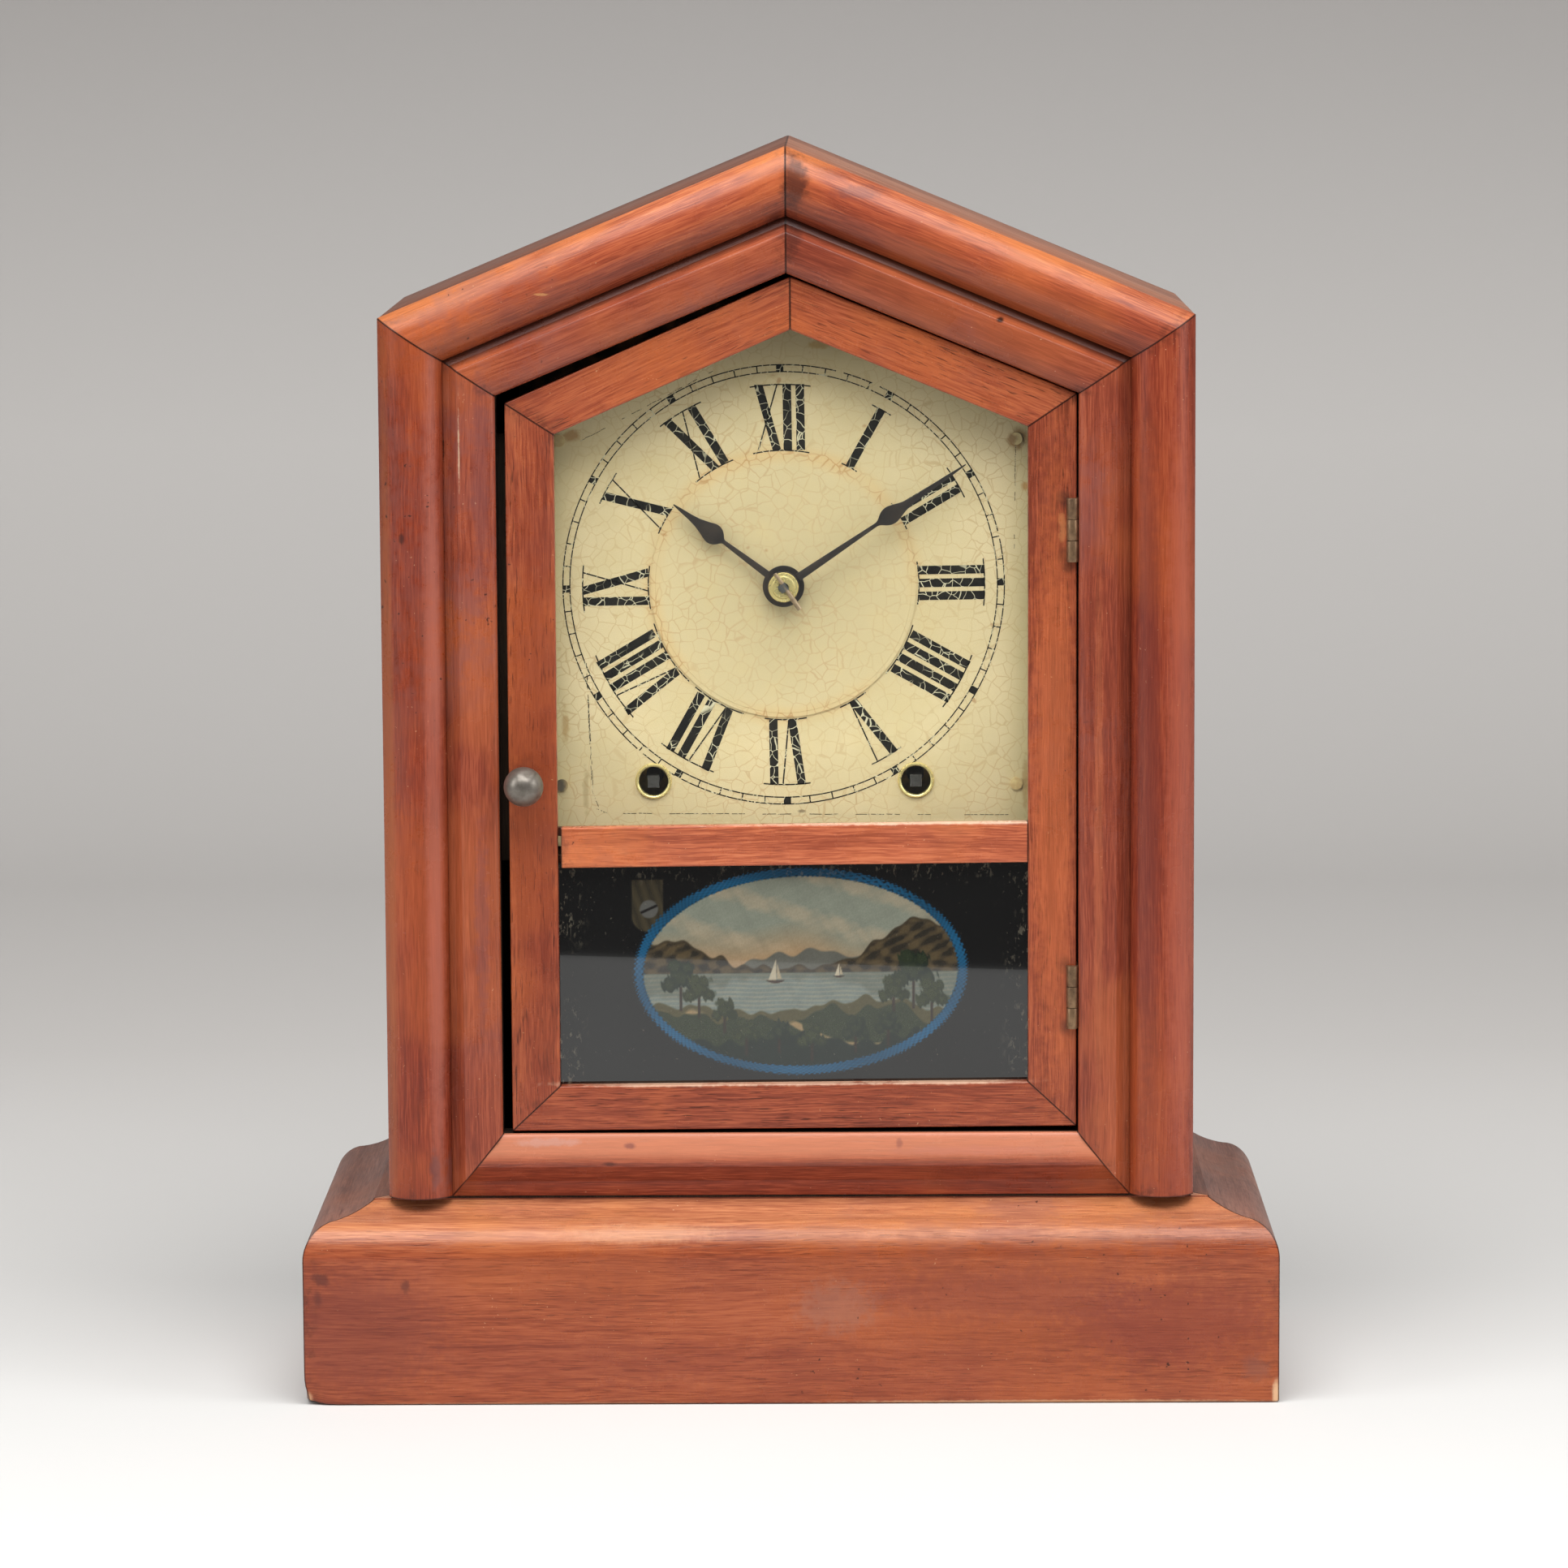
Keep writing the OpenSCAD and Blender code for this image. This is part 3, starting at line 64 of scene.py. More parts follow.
def pointed(xl, xr, zb, zs, peak):
    """Five corners of a pointed outline, counterclockwise from its lower left one."""
    return np.array([[xl, zb], [xr, zb], [xr, zs], peak, [xl, zs]], float)


OUTER = pointed(-HALF_W, HALF_W, FOOT_Z, roof_z(HALF_W), [0, CASE_H])
JOINT = pointed(-HALF_W + MOULD_W, HALF_W - MOULD_W, FOOT_Z, roof_z(HALF_W - MOULD_W, MOULD_W),
                [0, roof_z(0, MOULD_W)])
OPEN_X = HALF_W - MOULD_W - SURROUND_W
OPENING = pointed(-OPEN_X, OPEN_X, FOOT_Z + SURROUND_LOW_W, roof_z(OPEN_X, MOULD_W + SURROUND_W),
                  [0, roof_z(0, MOULD_W + SURROUND_W)])
DOOR_XL, DOOR_XR, DOOR_Z = -OPEN_X + 2.6, OPEN_X - 0.5, FOOT_Z + SURROUND_LOW_W + 1.6
DOOR_SHOULDER = roof_z(DOOR_XR, MOULD_W + SURROUND_W) - 0.4
DOOR_MID = (DOOR_XL + DOOR_XR) / 2
DOOR_OUT = pointed(DOOR_XL, DOOR_XR, DOOR_Z, DOOR_SHOULDER,
                   [DOOR_MID, roof_z(DOOR_MID, MOULD_W + SURROUND_W) - 0.4 + 0.9])
MIDDLE_Z = HAND[1] - 72 - 3


def grow(points, d):
    """A convex outline moved outwards by d: each corner goes along the sum of its two edge normals."""
    p = np.asarray(points, float)
    edge = np.roll(p, -1, 0) - p
    n = np.stack([edge[:, 1], -edge[:, 0]], 1) / np.linalg.norm(edge, axis=1)[:, None]
    m = np.roll(n, 1, 0)
    return p + d * (m + n) / (1 + (m * n).sum(1))[:, None]


def sunk(xz):
    """The rack of the door: its knob side hangs lower, and more so towards the top."""
    xz = np.array(xz, float)
    drop = 0.9 + 1.1 * (xz[..., 1] - DOOR_Z) / (DOOR_SHOULDER - DOOR_Z)
    xz[..., 1] -= drop * (DOOR_XR - xz[..., 0]) / (DOOR_XR - DOOR_XL)
    return xz


STILE_W, LOW_RAIL_W, DOOR_T = 13.2, 12.4, 8.5
LIP, REBATE, PANE_T = 4.6, 3.0, 1.6
DOOR_IN = grow(DOOR_OUT, -STILE_W)
DOOR_IN[:2, 1] = DOOR_Z + LOW_RAIL_W

# Mesh helpers


@contextmanager
def editing(me):
    """Opens a mesh; at the end its faces are turned outwards and it is written back."""
    bm = bmesh.new()
    bm.from_mesh(me)
    yield bm
    bmesh.ops.recalc_face_normals(bm, faces=bm.faces)
    bm.to_mesh(me)
    bm.free()


def smooth(me, sharp):
    """Smooth shading, but for edges sharper than an angle in degrees."""
    me.polygons.foreach_set("use_smooth", np.ones(len(me.polygons), bool))
    if sharp:
        me.set_sharp_from_angle(angle=radians(sharp))
    me.update()
    return me


def finish_mesh(name, verts, faces, uv=None, marks=None, sharp=32, turn=True):
    """Puts arrays of points in millimetres and faces into a mesh, with its grain map and its marks."""
    me = bpy.data.meshes.new(name)
    me.from_pydata((np.asarray(verts, float) / 1000).tolist(), [], faces)
    if turn:
        with editing(me):
            pass
    if uv is not None:
        loops = np.empty(len(me.loops), np.int32)
        me.loops.foreach_get("vertex_index", loops)
        layer = me.uv_layers.new(name="grain")
        layer.data.foreach_set("uv", (np.asarray(uv, float)[loops] / 1000).ravel())
    for key, values in (marks or {}).items():
        if np.ndim(values) == 1:
            me.attributes.new(key, "FLOAT", "POINT").data.foreach_set("value", values)
        else:
            four = np.hstack([values, np.ones((len(values), 1))])
            me.attributes.new(key, "FLOAT_COLOR", "POINT").data.foreach_set("color", four.ravel())
    return smooth(me, sharp)


def placed(name, data):
    """A new object in the scene."""
    ob = bpy.data.objects.new(name, data)
    bpy.context.scene.collection.objects.link(ob)
    return ob


def add(name, me, body, slot, mat, *replaced):
    """Adds a finished mesh as a piece that rides on a body and stands for the CAD nodes named."""
    ob = placed(name, me)
    me.materials.append(mat)
    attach(ob, body)
    if replaced:
        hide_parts(*replaced)


def dress(node, mat):
    """Gives a carried-over CAD node its material."""
    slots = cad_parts[node].data.materials
    slots.clear()
    slots.append(mat)


def grid_faces(n, m, wrap=False):
    """Quads of an n by m grid of points in rows; wrap joins the last column to the first."""
    i = np.arange(n - 1)[:, None] * m
    j = np.arange(m if wrap else m - 1)[None, :]
    k = (j + 1) % m
    return np.stack([i + j, i + k, i + m + k, i + m + j], -1).reshape(-1, 4).tolist()


def tube_faces(n, m):
    """The quads of n rings of m points, with a face over each end."""
    return grid_faces(n, m, wrap=True) + [list(range(m)), list(range((n - 1) * m, n * m))]


def section(corners, step=0.8):
    """A closed profile from corners (inwards, out, rounding radius): each corner becomes an arc between
    its two tangent points, the straights are cut to the step, and rub falls off with the distance from
    the nearest outward arris."""
    c = np.array(corners, float)
    prev, nxt = np.roll(c[:, :2], 1, 0), np.roll(c[:, :2], -1, 0)
    a, b = prev - c[:, :2], nxt - c[:, :2]
    la, lb = np.linalg.norm(a, axis=1), np.linalg.norm(b, axis=1)
    a, b = a / la[:, None], b / lb[:, None]
    half = np.arccos(np.clip((a * b).sum(1), -1, 1)) / 2
    cut = np.minimum(c[:, 2] / np.tan(half), 0.48 * np.minimum(la, lb))
    pts, arris = [], []
    for i in range(len(c)):
        p0, p1 = c[i, :2] + a[i] * cut[i], c[i, :2] + b[i] * cut[i]
        if cut[i] > 1e-6:
            t = np.linspace(0, 1, 6)[:, None]
            arc = (1 - t) ** 2 * p0 + 2 * t * (1 - t) * c[i, :2] + t ** 2 * p1
        else:
            arc = c[i:i + 1, :2]
        turn = a[i, 0] * b[i, 1] - a[i, 1] * b[i, 0]
        pts.append(arc)
        arris.append(np.full(len(arc), float(abs(pi - 2 * half[i]) > 0.35 and turn < 0 and c[i, 2] > 0)))
        end = c[(i + 1) % len(c), :2] + a[(i + 1) % len(c)] * cut[(i + 1) % len(c)]
        n = int(np.linalg.norm(end - p1) / step)
        if n > 1:
            t = np.linspace(0, 1, n + 1)[1:-1, None]
            pts.append(p1 + t * (end - p1))
            arris.append(np.zeros(len(t)))
    pts, arris = np.concatenate(pts), np.concatenate(arris)
    s = np.concatenate([[0], np.cumsum(np.linalg.norm(np.diff(pts, axis=0), axis=1))])
    spots = s[arris > 0]
    away = np.abs(s[:, None] - spots[None, :]).min(1) if len(spots) else np.full(len(s), 99.0)
    return pts, s, exp(-(away / 0.7) ** 2)


rng = np.random.default_rng(7)


def wobble(s, v, seed, size):
    """A slow unevenness left by the plane: three crossed sine waves of the length and the width."""
    r = np.random.default_rng(seed)
    out = 0
    for _ in range(3):
        f, g = r.uniform(0.02, 0.09), r.uniform(0.05, 0.3)
        out = out + sin(s * f + v * g + r.uniform(0, 6.3))
    return size * out / 3


def sweep(name, a, b, inward, outward, profile, ta, tb, seed, uneven, bend=None):
    """A profile carried along the straight line from a to b. A point d inwards starts at d times ta and
    ends d times tb short of b, which makes the mitres; both ends are closed."""
    pts, across, rub = profile
    a, b, inward, outward = (np.array(v, float) for v in (a, b, inward, outward))
    length = np.linalg.norm(b - a)
    way = (b - a) / length
    d, h = pts[:, 0], pts[:, 1]
    near = np.array([0, 0.35, 0.9, 1.8, 3.2, 5.5, 9])
    t = np.concatenate([near, np.linspace(14, length - 14, max(4, int(length / 7))), length - near[::-1]]) / length
    s0, s1 = MITRE_GAP + d * ta, length - MITRE_GAP - d * tb
    s = s0 + t[:, None] * (s1 - s0)
    out = h + wobble(s, across, seed, uneven) * np.clip(h, 0, 1)
    p = a + s[..., None] * way + d[None, :, None] * inward + out[..., None] * outward
    if bend is not None:
        p = bend(p)
    end = np.minimum(s - s0, s1 - s) * np.ones_like(s)
    uv = np.stack([s + 1000 * seed * 0.137, np.broadcast_to(across + seed * 31.7, s.shape)], -1).reshape(-1, 2)
    marks = {"rub": np.broadcast_to(rub, s.shape).ravel(), "seam": end.ravel(),
             "rise": np.broadcast_to(h / max(h.max(), 1e-6), s.shape).ravel()}
    return finish_mesh(name, p.reshape(-1, 3), tube_faces(*s.shape), uv, marks)


def xz(p, y=0.0):
    """A point of the front view at a depth y."""
    return np.array([p[0], y, p[1]])


def front_piece(name, i, outline, inner, y0, profile, seed, uneven, bend=None):
    """A mitred moulding along edge i of an outline, its back on the plane y0."""
    a, b, ia, ib = outline[i], outline[(i + 1) % 5], inner[i], inner[(i + 1) % 5]
    way = (b - a) / np.linalg.norm(b - a)
    nrm = np.array([-way[1], way[0]])
    ta = np.dot(ia - a, way) / np.dot(ia - a, nrm)
    tb = -np.dot(ib - b, way) / np.dot(ib - b, nrm)
    return sweep(name, xz(a, y0), xz(b, y0), xz(nrm), (0, -1, 0), profile, ta, tb, seed, uneven, bend)


def lathe(name, profile, centre, steps=64):
    """A turned form: the profile (radius, place along y, front first) goes round the y axis through the
    centre; its ends on the axis close as single points."""
    pr = np.array(profile, float)
    a = np.linspace(0, 2 * pi, steps, endpoint=False)
    r, y = pr[:, :1], np.broadcast_to(pr[:, 1:], (len(pr), steps))
    p = np.stack([centre[0] + r * cos(a), centre[1] + y, centre[2] + r * sin(a)], -1)
    me = finish_mesh(name, p.reshape(-1, 3), grid_faces(len(pr), steps, wrap=True))
    with editing(me) as bm:
        bmesh.ops.remove_doubles(bm, verts=bm.verts, dist=1e-7)
        edges = [e for e in bm.edges if e.is_boundary]
        if edges:
            bmesh.ops.holes_fill(bm, edges=edges)
    return smooth(me, 35)


def arc_points(cx, cy, r, a0, a1, n):
    """Points on a circle about (cx, cy) from angle a0 to a1, in degrees."""
    a = radians(np.linspace(a0, a1, n))
    return np.stack([cx + r * cos(a), cy + r * sin(a)], 1).tolist()


def plates(name, polys, y, thick):
    """Flat forms drawn in front view, given thickness towards the back: each outline makes a front, a
    back and a rim."""
    verts, faces = [], []
    for q in polys:
        n, s = len(q), len(verts)
        verts += [[x, y, z] for x, z in q] + [[x, y + thick, z] for x, z in q]
        faces += [list(range(s, s + n)), list(range(s + 2 * n - 1, s + n - 1, -1))]
        faces += [[s + i, s + n + i, s + n + (i + 1) % n, s + (i + 1) % n] for i in range(n)]
    return finish_mesh(name, verts, faces)


def merged(node, bevel=0.0):
    """A clean copy of a CAD node: its triangles are joined, flat ones merged, and its edges softened."""
    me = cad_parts[node].data.copy()
    me.materials.clear()
    with editing(me) as bm:
        bmesh.ops.remove_doubles(bm, verts=bm.verts, dist=2e-6)
        bmesh.ops.dissolve_limit(bm, angle_limit=radians(0.5), verts=bm.verts, edges=bm.edges)
        bmesh.ops.recalc_face_normals(bm, faces=bm.faces)
        if bevel:
            edges = [e for e in bm.edges if e.is_manifold and e.calc_face_angle() > radians(25)]
            bmesh.ops.bevel(bm, geom=edges, offset=bevel / 1000, segments=2, profile=0.5,
                            affect="EDGES", clamp_overlap=True)
    return smooth(me, 30)


# Shader helpers


def linear(c):
    """Screen colours from 0 to 1 in the renderer's linear values."""
    return np.where(c <= 0.04045, c / 12.92, ((c + 0.055) / 1.055) ** 2.4)


def srgb(r, g, b):
    """A colour picked as 0 to 255 on screen, for a shader."""
    return (*map(float, linear(np.array([r, g, b]) / 255)), 1.0)


def operator(kind, swapped=False):
    """A method that turns an operation of two outputs or numbers into a Math node."""
    def method(self, other):
        pair = (other, self) if swapped else (self, other)
        return self.tree.math(kind, *pair)
    return method


class Out:
    """The output of a node. It can be added, subtracted, multiplied and divided like a number."""

    __add__ = __radd__ = operator("ADD")
    __mul__ = __rmul__ = operator("MULTIPLY")
    __sub__, __rsub__ = operator("SUBTRACT"), operator("SUBTRACT", True)
    __truediv__ = operator("DIVIDE")

    def __init__(self, tree, socket):
        self.tree, self.socket = tree, socket


class Tree:
    """Short calls to add nodes to a tree. Inputs are values or the outputs of other nodes."""

    def __init__(self, tree):
        self.tree = tree

    def put(self, sock, value):
        """Links an output to a socket, or sets the socket's own number."""
        if isinstance(value, Out):
            self.tree.links.new(value.socket, sock)
        elif value is not None:
            sock.default_value = value

    def wire(self, node, **inputs):
        """Fills inputs named by their label, with _ for a space, or by i and their number."""
        for key, value in inputs.items():
            numbered = key[0] == "i" and key[1:].isdigit()
            self.put(node.inputs[int(key[1:]) if numbered else key.replace("_", " ")], value)

    def add(self, kind, out=0, settings=None, **inputs):
        """Adds a shader node and returns one of its outputs."""
        node = self.tree.nodes.new("ShaderNode" + kind)
        for key, value in (settings or {}).items():
            setattr(node, key, value)
        self.wire(node, **inputs)
        return Out(self, node.outputs[out])

    def math(self, op, a, b=None, c=None, clamp=False):
        return self.add("Math", settings={"operation": op, "use_clamp": clamp}, i0=a, i1=b, i2=c)

    def shift(self, by, amount, vec):
        """A place moved by a vector times an amount."""
        return self.add("VectorMath", settings={"operation": "MULTIPLY_ADD"}, i0=by, i1=amount, i2=vec)

    def xyz(self, vec):
        """The three parts of a vector."""
        node = self.tree.nodes.new("ShaderNodeSeparateXYZ")
        self.wire(node, Vector=vec)
        return [Out(self, s) for s in node.outputs]

    def largest(self, a, b):
        return self.math("MAXIMUM", a, b)

    def place(self):
        """The place on the piece in its own frame, in metres."""
        return self.add("TexCoord", out=3)

    def attribute(self, name, out=2):
        """A mark that the mesh carries."""
        return self.add("Attribute", out=out, settings={"attribute_name": name})

    def mix(self, fac, a, b, blend="MIX"):
        return self.add("Mix", out=2, settings={"data_type": "RGBA", "blend_type": blend}, i0=fac, i6=a, i7=b)

    def coats(self, base, *layers):
        """Lays colours over a base, one after the other; each layer is a mask and a colour."""
        for mask, colour in layers:
            base = self.mix(mask, base, srgb(*colour))
        return base

    def ramp(self, value, low, high):
        """0 below low, 1 above high and a smooth rise between them."""
        return self.add("MapRange", settings={"interpolation_type": "SMOOTHSTEP"}, Value=value,
                        From_Min=low, From_Max=high)

    def noise(self, vec, scale, detail=3.0, rough=0.55, out=0):
        return self.add("TexNoise", out=out, Vector=vec, Scale=scale, Detail=detail, Roughness=rough)

    def stretch(self, vec, sx, sy, sz=1.0):
        """Scales a place, so that a noise is drawn out where the scale is low."""
        return self.add("Mapping", Vector=vec, Scale=(sx, sy, sz))

    def bump(self, strength, distance, height):
        return self.add("Bump", Strength=strength, Distance=distance, Height=height)


def group(name, build, **inputs):
    """A shader node group with named sockets, of which Vector comes first; build gets a Tree and the
    inputs, and returns the outputs by name."""
    tree = bpy.data.node_groups.new(name, "ShaderNodeTree")
    tree.interface.new_socket(name="Vector", in_out="INPUT", socket_type="NodeSocketVector")
    for label, value in inputs.items():
        sock = tree.interface.new_socket(name=label, in_out="INPUT", socket_type="NodeSocketFloat")
        sock.default_value = value
    t = Tree(tree)
    made = build(t, {s.name: Out(t, s) for s in tree.nodes.new("NodeGroupInput").outputs})
    for label in made:
        tree.interface.new_socket(name=label, in_out="OUTPUT", socket_type="NodeSocketFloat")
    t.wire(tree.nodes.new("NodeGroupOutput"), **made)
    return tree


def use(t, tree, **inputs):
    """Places a group in a material and returns its outputs by name."""
    node = t.tree.nodes.new("ShaderNodeGroup")
    node.node_tree = tree
    t.wire(node, **inputs)
    return {s.name: Out(t, s) for s in node.outputs}


def grain_nodes(t, i):
    """Layers of noise drawn out along x and bent by slow ones: broad bands, streaks, fibres and pores."""
    v = i["Vector"]

    def along(vec, length, width, *rest, **which):
        """Noise with its own scale along the grain and another across it."""
        return t.noise(t.stretch(vec, length, width, width), 1.0, *rest, **which)

    bent = t.shift(along(v, 9, 30, 2.0, out=1), (0.012, 0.0045, 0.0045), v)
    bent = t.shift(along(v, 110, 160, 2.0, out=1), (0.0, 0.0007, 0.0007), bent)
    broad, streak = along(bent, 5, 60, 4.0), along(bent, 24, 560, 5.0, 0.7)
    fine, dash = along(bent, 90, 2600, 2.0), along(bent, 150, 2600, 1.0)
    pores = t.ramp(dash, 0.60, 0.68) * t.ramp(along(v, 12, 90, 2.0), 0.36, 0.60)
    pores = t.math("MULTIPLY", pores, i["Pores"], clamp=True)
    return {"Tone": broad * 0.34 + streak * 0.28 + fine * 0.38, "Pores": pores,
            "Height": streak * 0.4 + fine * 0.3 - pores}


GRAIN = group("wood_grain", grain_nodes, Pores=1.0)


def finish_nodes(t, i):
    """An old finish: blooms, warm patches, chips at rubbed arrises, dirt in joints, dark and pale specks."""
    v = i["Vector"]
    patch = t.noise(v, 13.0, 5.0, 0.6)
    cloud = t.noise(v, 55.0, 5.0, 0.68)
    mottle = t.noise(v, 260.0, 4.0, 0.7)
    bloom = t.ramp(patch, 0.47, 0.62) * t.ramp(cloud * 0.6 + mottle * 0.4, 0.44, 0.58)
    warm = t.ramp(t.noise(v, 19.0, 3.0), 0.46, 0.64)
    chip = t.ramp(i["Rub"] * 0.5 + cloud * 0.75, 0.8, 0.86)
    soft = i["Rub"] * t.ramp(patch, 0.3, 0.7)
    joint = 1.0 - t.ramp(i["End"], 0.1, 0.42)
    near = (1.0 - t.ramp(i["End"], 0.5, 5.0)) * t.ramp(cloud * 0.5 + mottle * 0.5, 0.5, 0.62)
    speck = t.ramp(t.noise(v, 520.0, 2.0), 0.7, 0.75) * t.ramp(patch, 0.5, 0.62)
    grime = t.largest(t.largest(speck, joint), near * 0.55)
    pale = t.ramp(t.noise(v, 1300.0, 1.0), 0.745, 0.79) * t.ramp(cloud, 0.52, 0.6)
    return {"Bloom": bloom, "Warm": warm, "Chip": chip, "Soft": soft, "Grime": grime, "Pale": pale}


AGE = group("old_finish", finish_nodes, Rub=0.0, End=50.0)


def spot_nodes(t, i):
    """A soft patch about a place in front view, with an uneven edge."""
    x, _, z = t.xyz(i["Vector"])
    dx, dz = (x - i["X"]) / i["Width"], (z - i["Z"]) / i["Height"]
    rough = t.noise(i["Vector"], 380.0, 4.0, 0.65) - 0.5
    d = t.math("SQRT", dx * dx + dz * dz) + rough * i["Ragged"]
    return {"Mask": 1.0 - t.ramp(d, 0.35, 1.05)}


# Soft patches serve for stains and also for painted highlight and painted shade.
SPOT = group("stain_spot", spot_nodes, X=0.0, Z=0.0, Width=0.01, Height=0.01, Ragged=1.4)


def spotted(t, base, place, spots):
    """Lays soft patches over a colour: stains, and in some lists painted highlight and painted shade; each is (x, z,
    half width, half height in mm, colour, strength, raggedness).
    """
    for x, z, w, h, colour, amount, ragged in spots:
        x, z, w, h = (v / 1000 for v in (x, z, w, h))
        mask = use(t, SPOT, Vector=place, X=x, Z=z, Width=w, Height=h, Ragged=ragged)["Mask"]
        base = t.coats(base, (mask * amount, colour))
    return base


def tarnish_nodes(t, i):
    """Blotches at two scales, brushing drawn out across z, and specks."""
    v = i["Vector"]
    big = t.noise(v, 90.0, 4.0, 0.6)
    small = t.noise(v, 700.0, 3.0, 0.6)
    mask = t.ramp(big * 0.6 + small * 0.4, 0.4, 0.62)
    brush = t.noise(t.stretch(v, 300, 300, 3500), 1.0, 2.0)
    return {"Tarnish": mask, "Brush": brush, "Speck": t.ramp(small, 0.62, 0.70)}


TARNISH = group("tarnish", tarnish_nodes)


def material(name, **plain):
    """A Principled material with plain numbers on its own sockets; returns it, its Tree and the shader."""
    mat = bpy.data.materials.new(name)
    mat.use_nodes = True
    shader, t = mat.node_tree.nodes["Principled BSDF"], Tree(mat.node_tree)
    t.wire(shader, **plain)
    return mat, t, shader


def partly_clear(mat, t, shader, where, **clear):
    """Mixes a clear shader into a material, by a mask."""
    both = t.add("MixShader", i0=where, i1=Out(t, shader.outputs[0]), i2=t.add("BsdfTransparent", **clear))
    t.put(mat.node_tree.nodes["Material Output"].inputs["Surface"], both)


SHELLAC, WORN, RAW = (0.27, 0.42, 0.06), (0.42, 0.62, 0.02), (0.7, 0.85, 0.0)
UPRIGHT = (0, radians(90), 0)
SOOT, UNLIT, ROOF_SHADE = (46, 26, 21), (0.5, 0.45, 0.45, 1), (0.42, 0.36, 0.36, 1)


def wood(name, dark, mid, light, pale, bloom, bloom_colour, pores=0.3, along=None, sheen=SHELLAC, warm=0.35,
         warm_colour=(190, 104, 52), spots=(), under=0.0, over=0.0, lit=(1.35, 1.45, 1.35), groove=0.0):
    """Stained and shellacked wood. The grain map runs along each piece, along a turned Object axis, or up
    both slopes of the roof, where the height over the slope takes the place of z. Sheen is the roughness
    of clean and of bloomed shellac, and the coat. Over and lit lighten what faces up, a painted highlight;
    under darkens what faces down and groove the low side of a profile, painted shade, in the groove partly dirt."""
    mat, t, sh = material(name, Coat_Roughness=0.2, IOR=1.46, Specular_IOR_Level=0.3)
    place = t.place()
    if along is None:
        grain_v, rub, end = t.add("UVMap", settings={"uv_map": "grain"}), t.attribute("rub"), t.attribute("seam")
    elif along == "roof":
        x, y, z = t.xyz(place)
        out = t.math("ABSOLUTE", x)
        grain_v = t.add("CombineXYZ", X=x, Y=y, Z=t.math("MULTIPLY_ADD", out, TAN, z))
        rub, end = 0.0, out * 1000.0
    else:
        grain_v, rub, end = t.add("Mapping", Vector=place, Rotation=along), 0.0, 50.0
    g = use(t, GRAIN, Vector=grain_v, Pores=pores)
    a = use(t, AGE, Vector=place, Rub=rub, End=end)
    base = t.coats(srgb(*dark), (t.ramp(g["Tone"], 0.38, 0.54), mid), (t.ramp(g["Tone"], 0.48, 0.64), light),
                   (a["Warm"] * warm, warm_colour), (g["Pores"] * 0.65, [c * 0.42 for c in dark]),
                   (a["Bloom"] * bloom, bloom_colour),
                   (a["Soft"] * 0.45, [0.5 * (p + q) for p, q in zip(light, pale)]),
                   (a["Chip"] * 0.85, pale), (a["Pale"] * 0.45, pale))
    # Painted light: faces that turn up are multiplied by lit, a painted highlight from the lamp above, and faces
    # that turn down by UNLIT, painted shade.
    facing = t.xyz(t.add("TexCoord", out=1))[2]
    base = t.mix(t.ramp(facing, 0.12, 0.8) * over, base, (*lit, 1), "MULTIPLY")
    base = t.mix(t.ramp(facing * -1.0, 0.05, 0.75) * under, base, UNLIT, "MULTIPLY")
    # Painted shade, with some dirt: the low side of the profile is darkened, most where it faces up under the next
    # moulding.
    if groove:
        low = 1.0 - t.ramp(t.attribute("rise"), 0.2, 0.8)
        depth = t.math("ADD", groove, t.ramp(facing, 0.1, 0.5) * 0.8, clamp=True)
        base = t.coats(base, (low * depth, [c * 0.4 for c in dark]))
    base = spotted(t, base, place, spots)
    if along == "roof":
        base = t.mix(t.math("LESS_THAN", x, 0.0) * 0.75, base, ROOF_SHADE, "MULTIPLY")
    base = t.coats(base, (a["Grime"] * 0.8, SOOT))
    r = t.add("MapRange", Value=a["Bloom"], To_Min=sheen[0], To_Max=sheen[1])
    t.wire(sh, Base_Color=base, Roughness=t.math("ADD", r, a["Chip"] * 0.2, clamp=True),
           Coat_Weight=(1.0 - a["Bloom"]) * sheen[2], Normal=t.bump(0.25, 0.0002, g["Height"] - a["Chip"] * 0.8))
    return mat


def metal(name, colour, tarnish, metallic=1.0, rough=(0.25, 0.5), bump=0.15, amount=0.8, speck=0.0,
          speck_colour=(40, 30, 22)):
    """A plain metal under tarnish, with faint brushing."""
    mat, t, sh = material(name, Metallic=metallic)
    a = use(t, TARNISH, Vector=t.place())
    base = t.coats(srgb(*colour), (a["Tarnish"] * amount, tarnish), (a["Speck"] * speck, speck_colour))
    t.wire(sh, Base_Color=base,
           Roughness=t.add("MapRange", Value=a["Tarnish"], To_Min=rough[0], To_Max=rough[1]),
           Normal=t.bump(bump, 0.0001, a["Brush"]))
    return mat


DIRT, BARE = (52, 30, 28), (206, 146, 92)
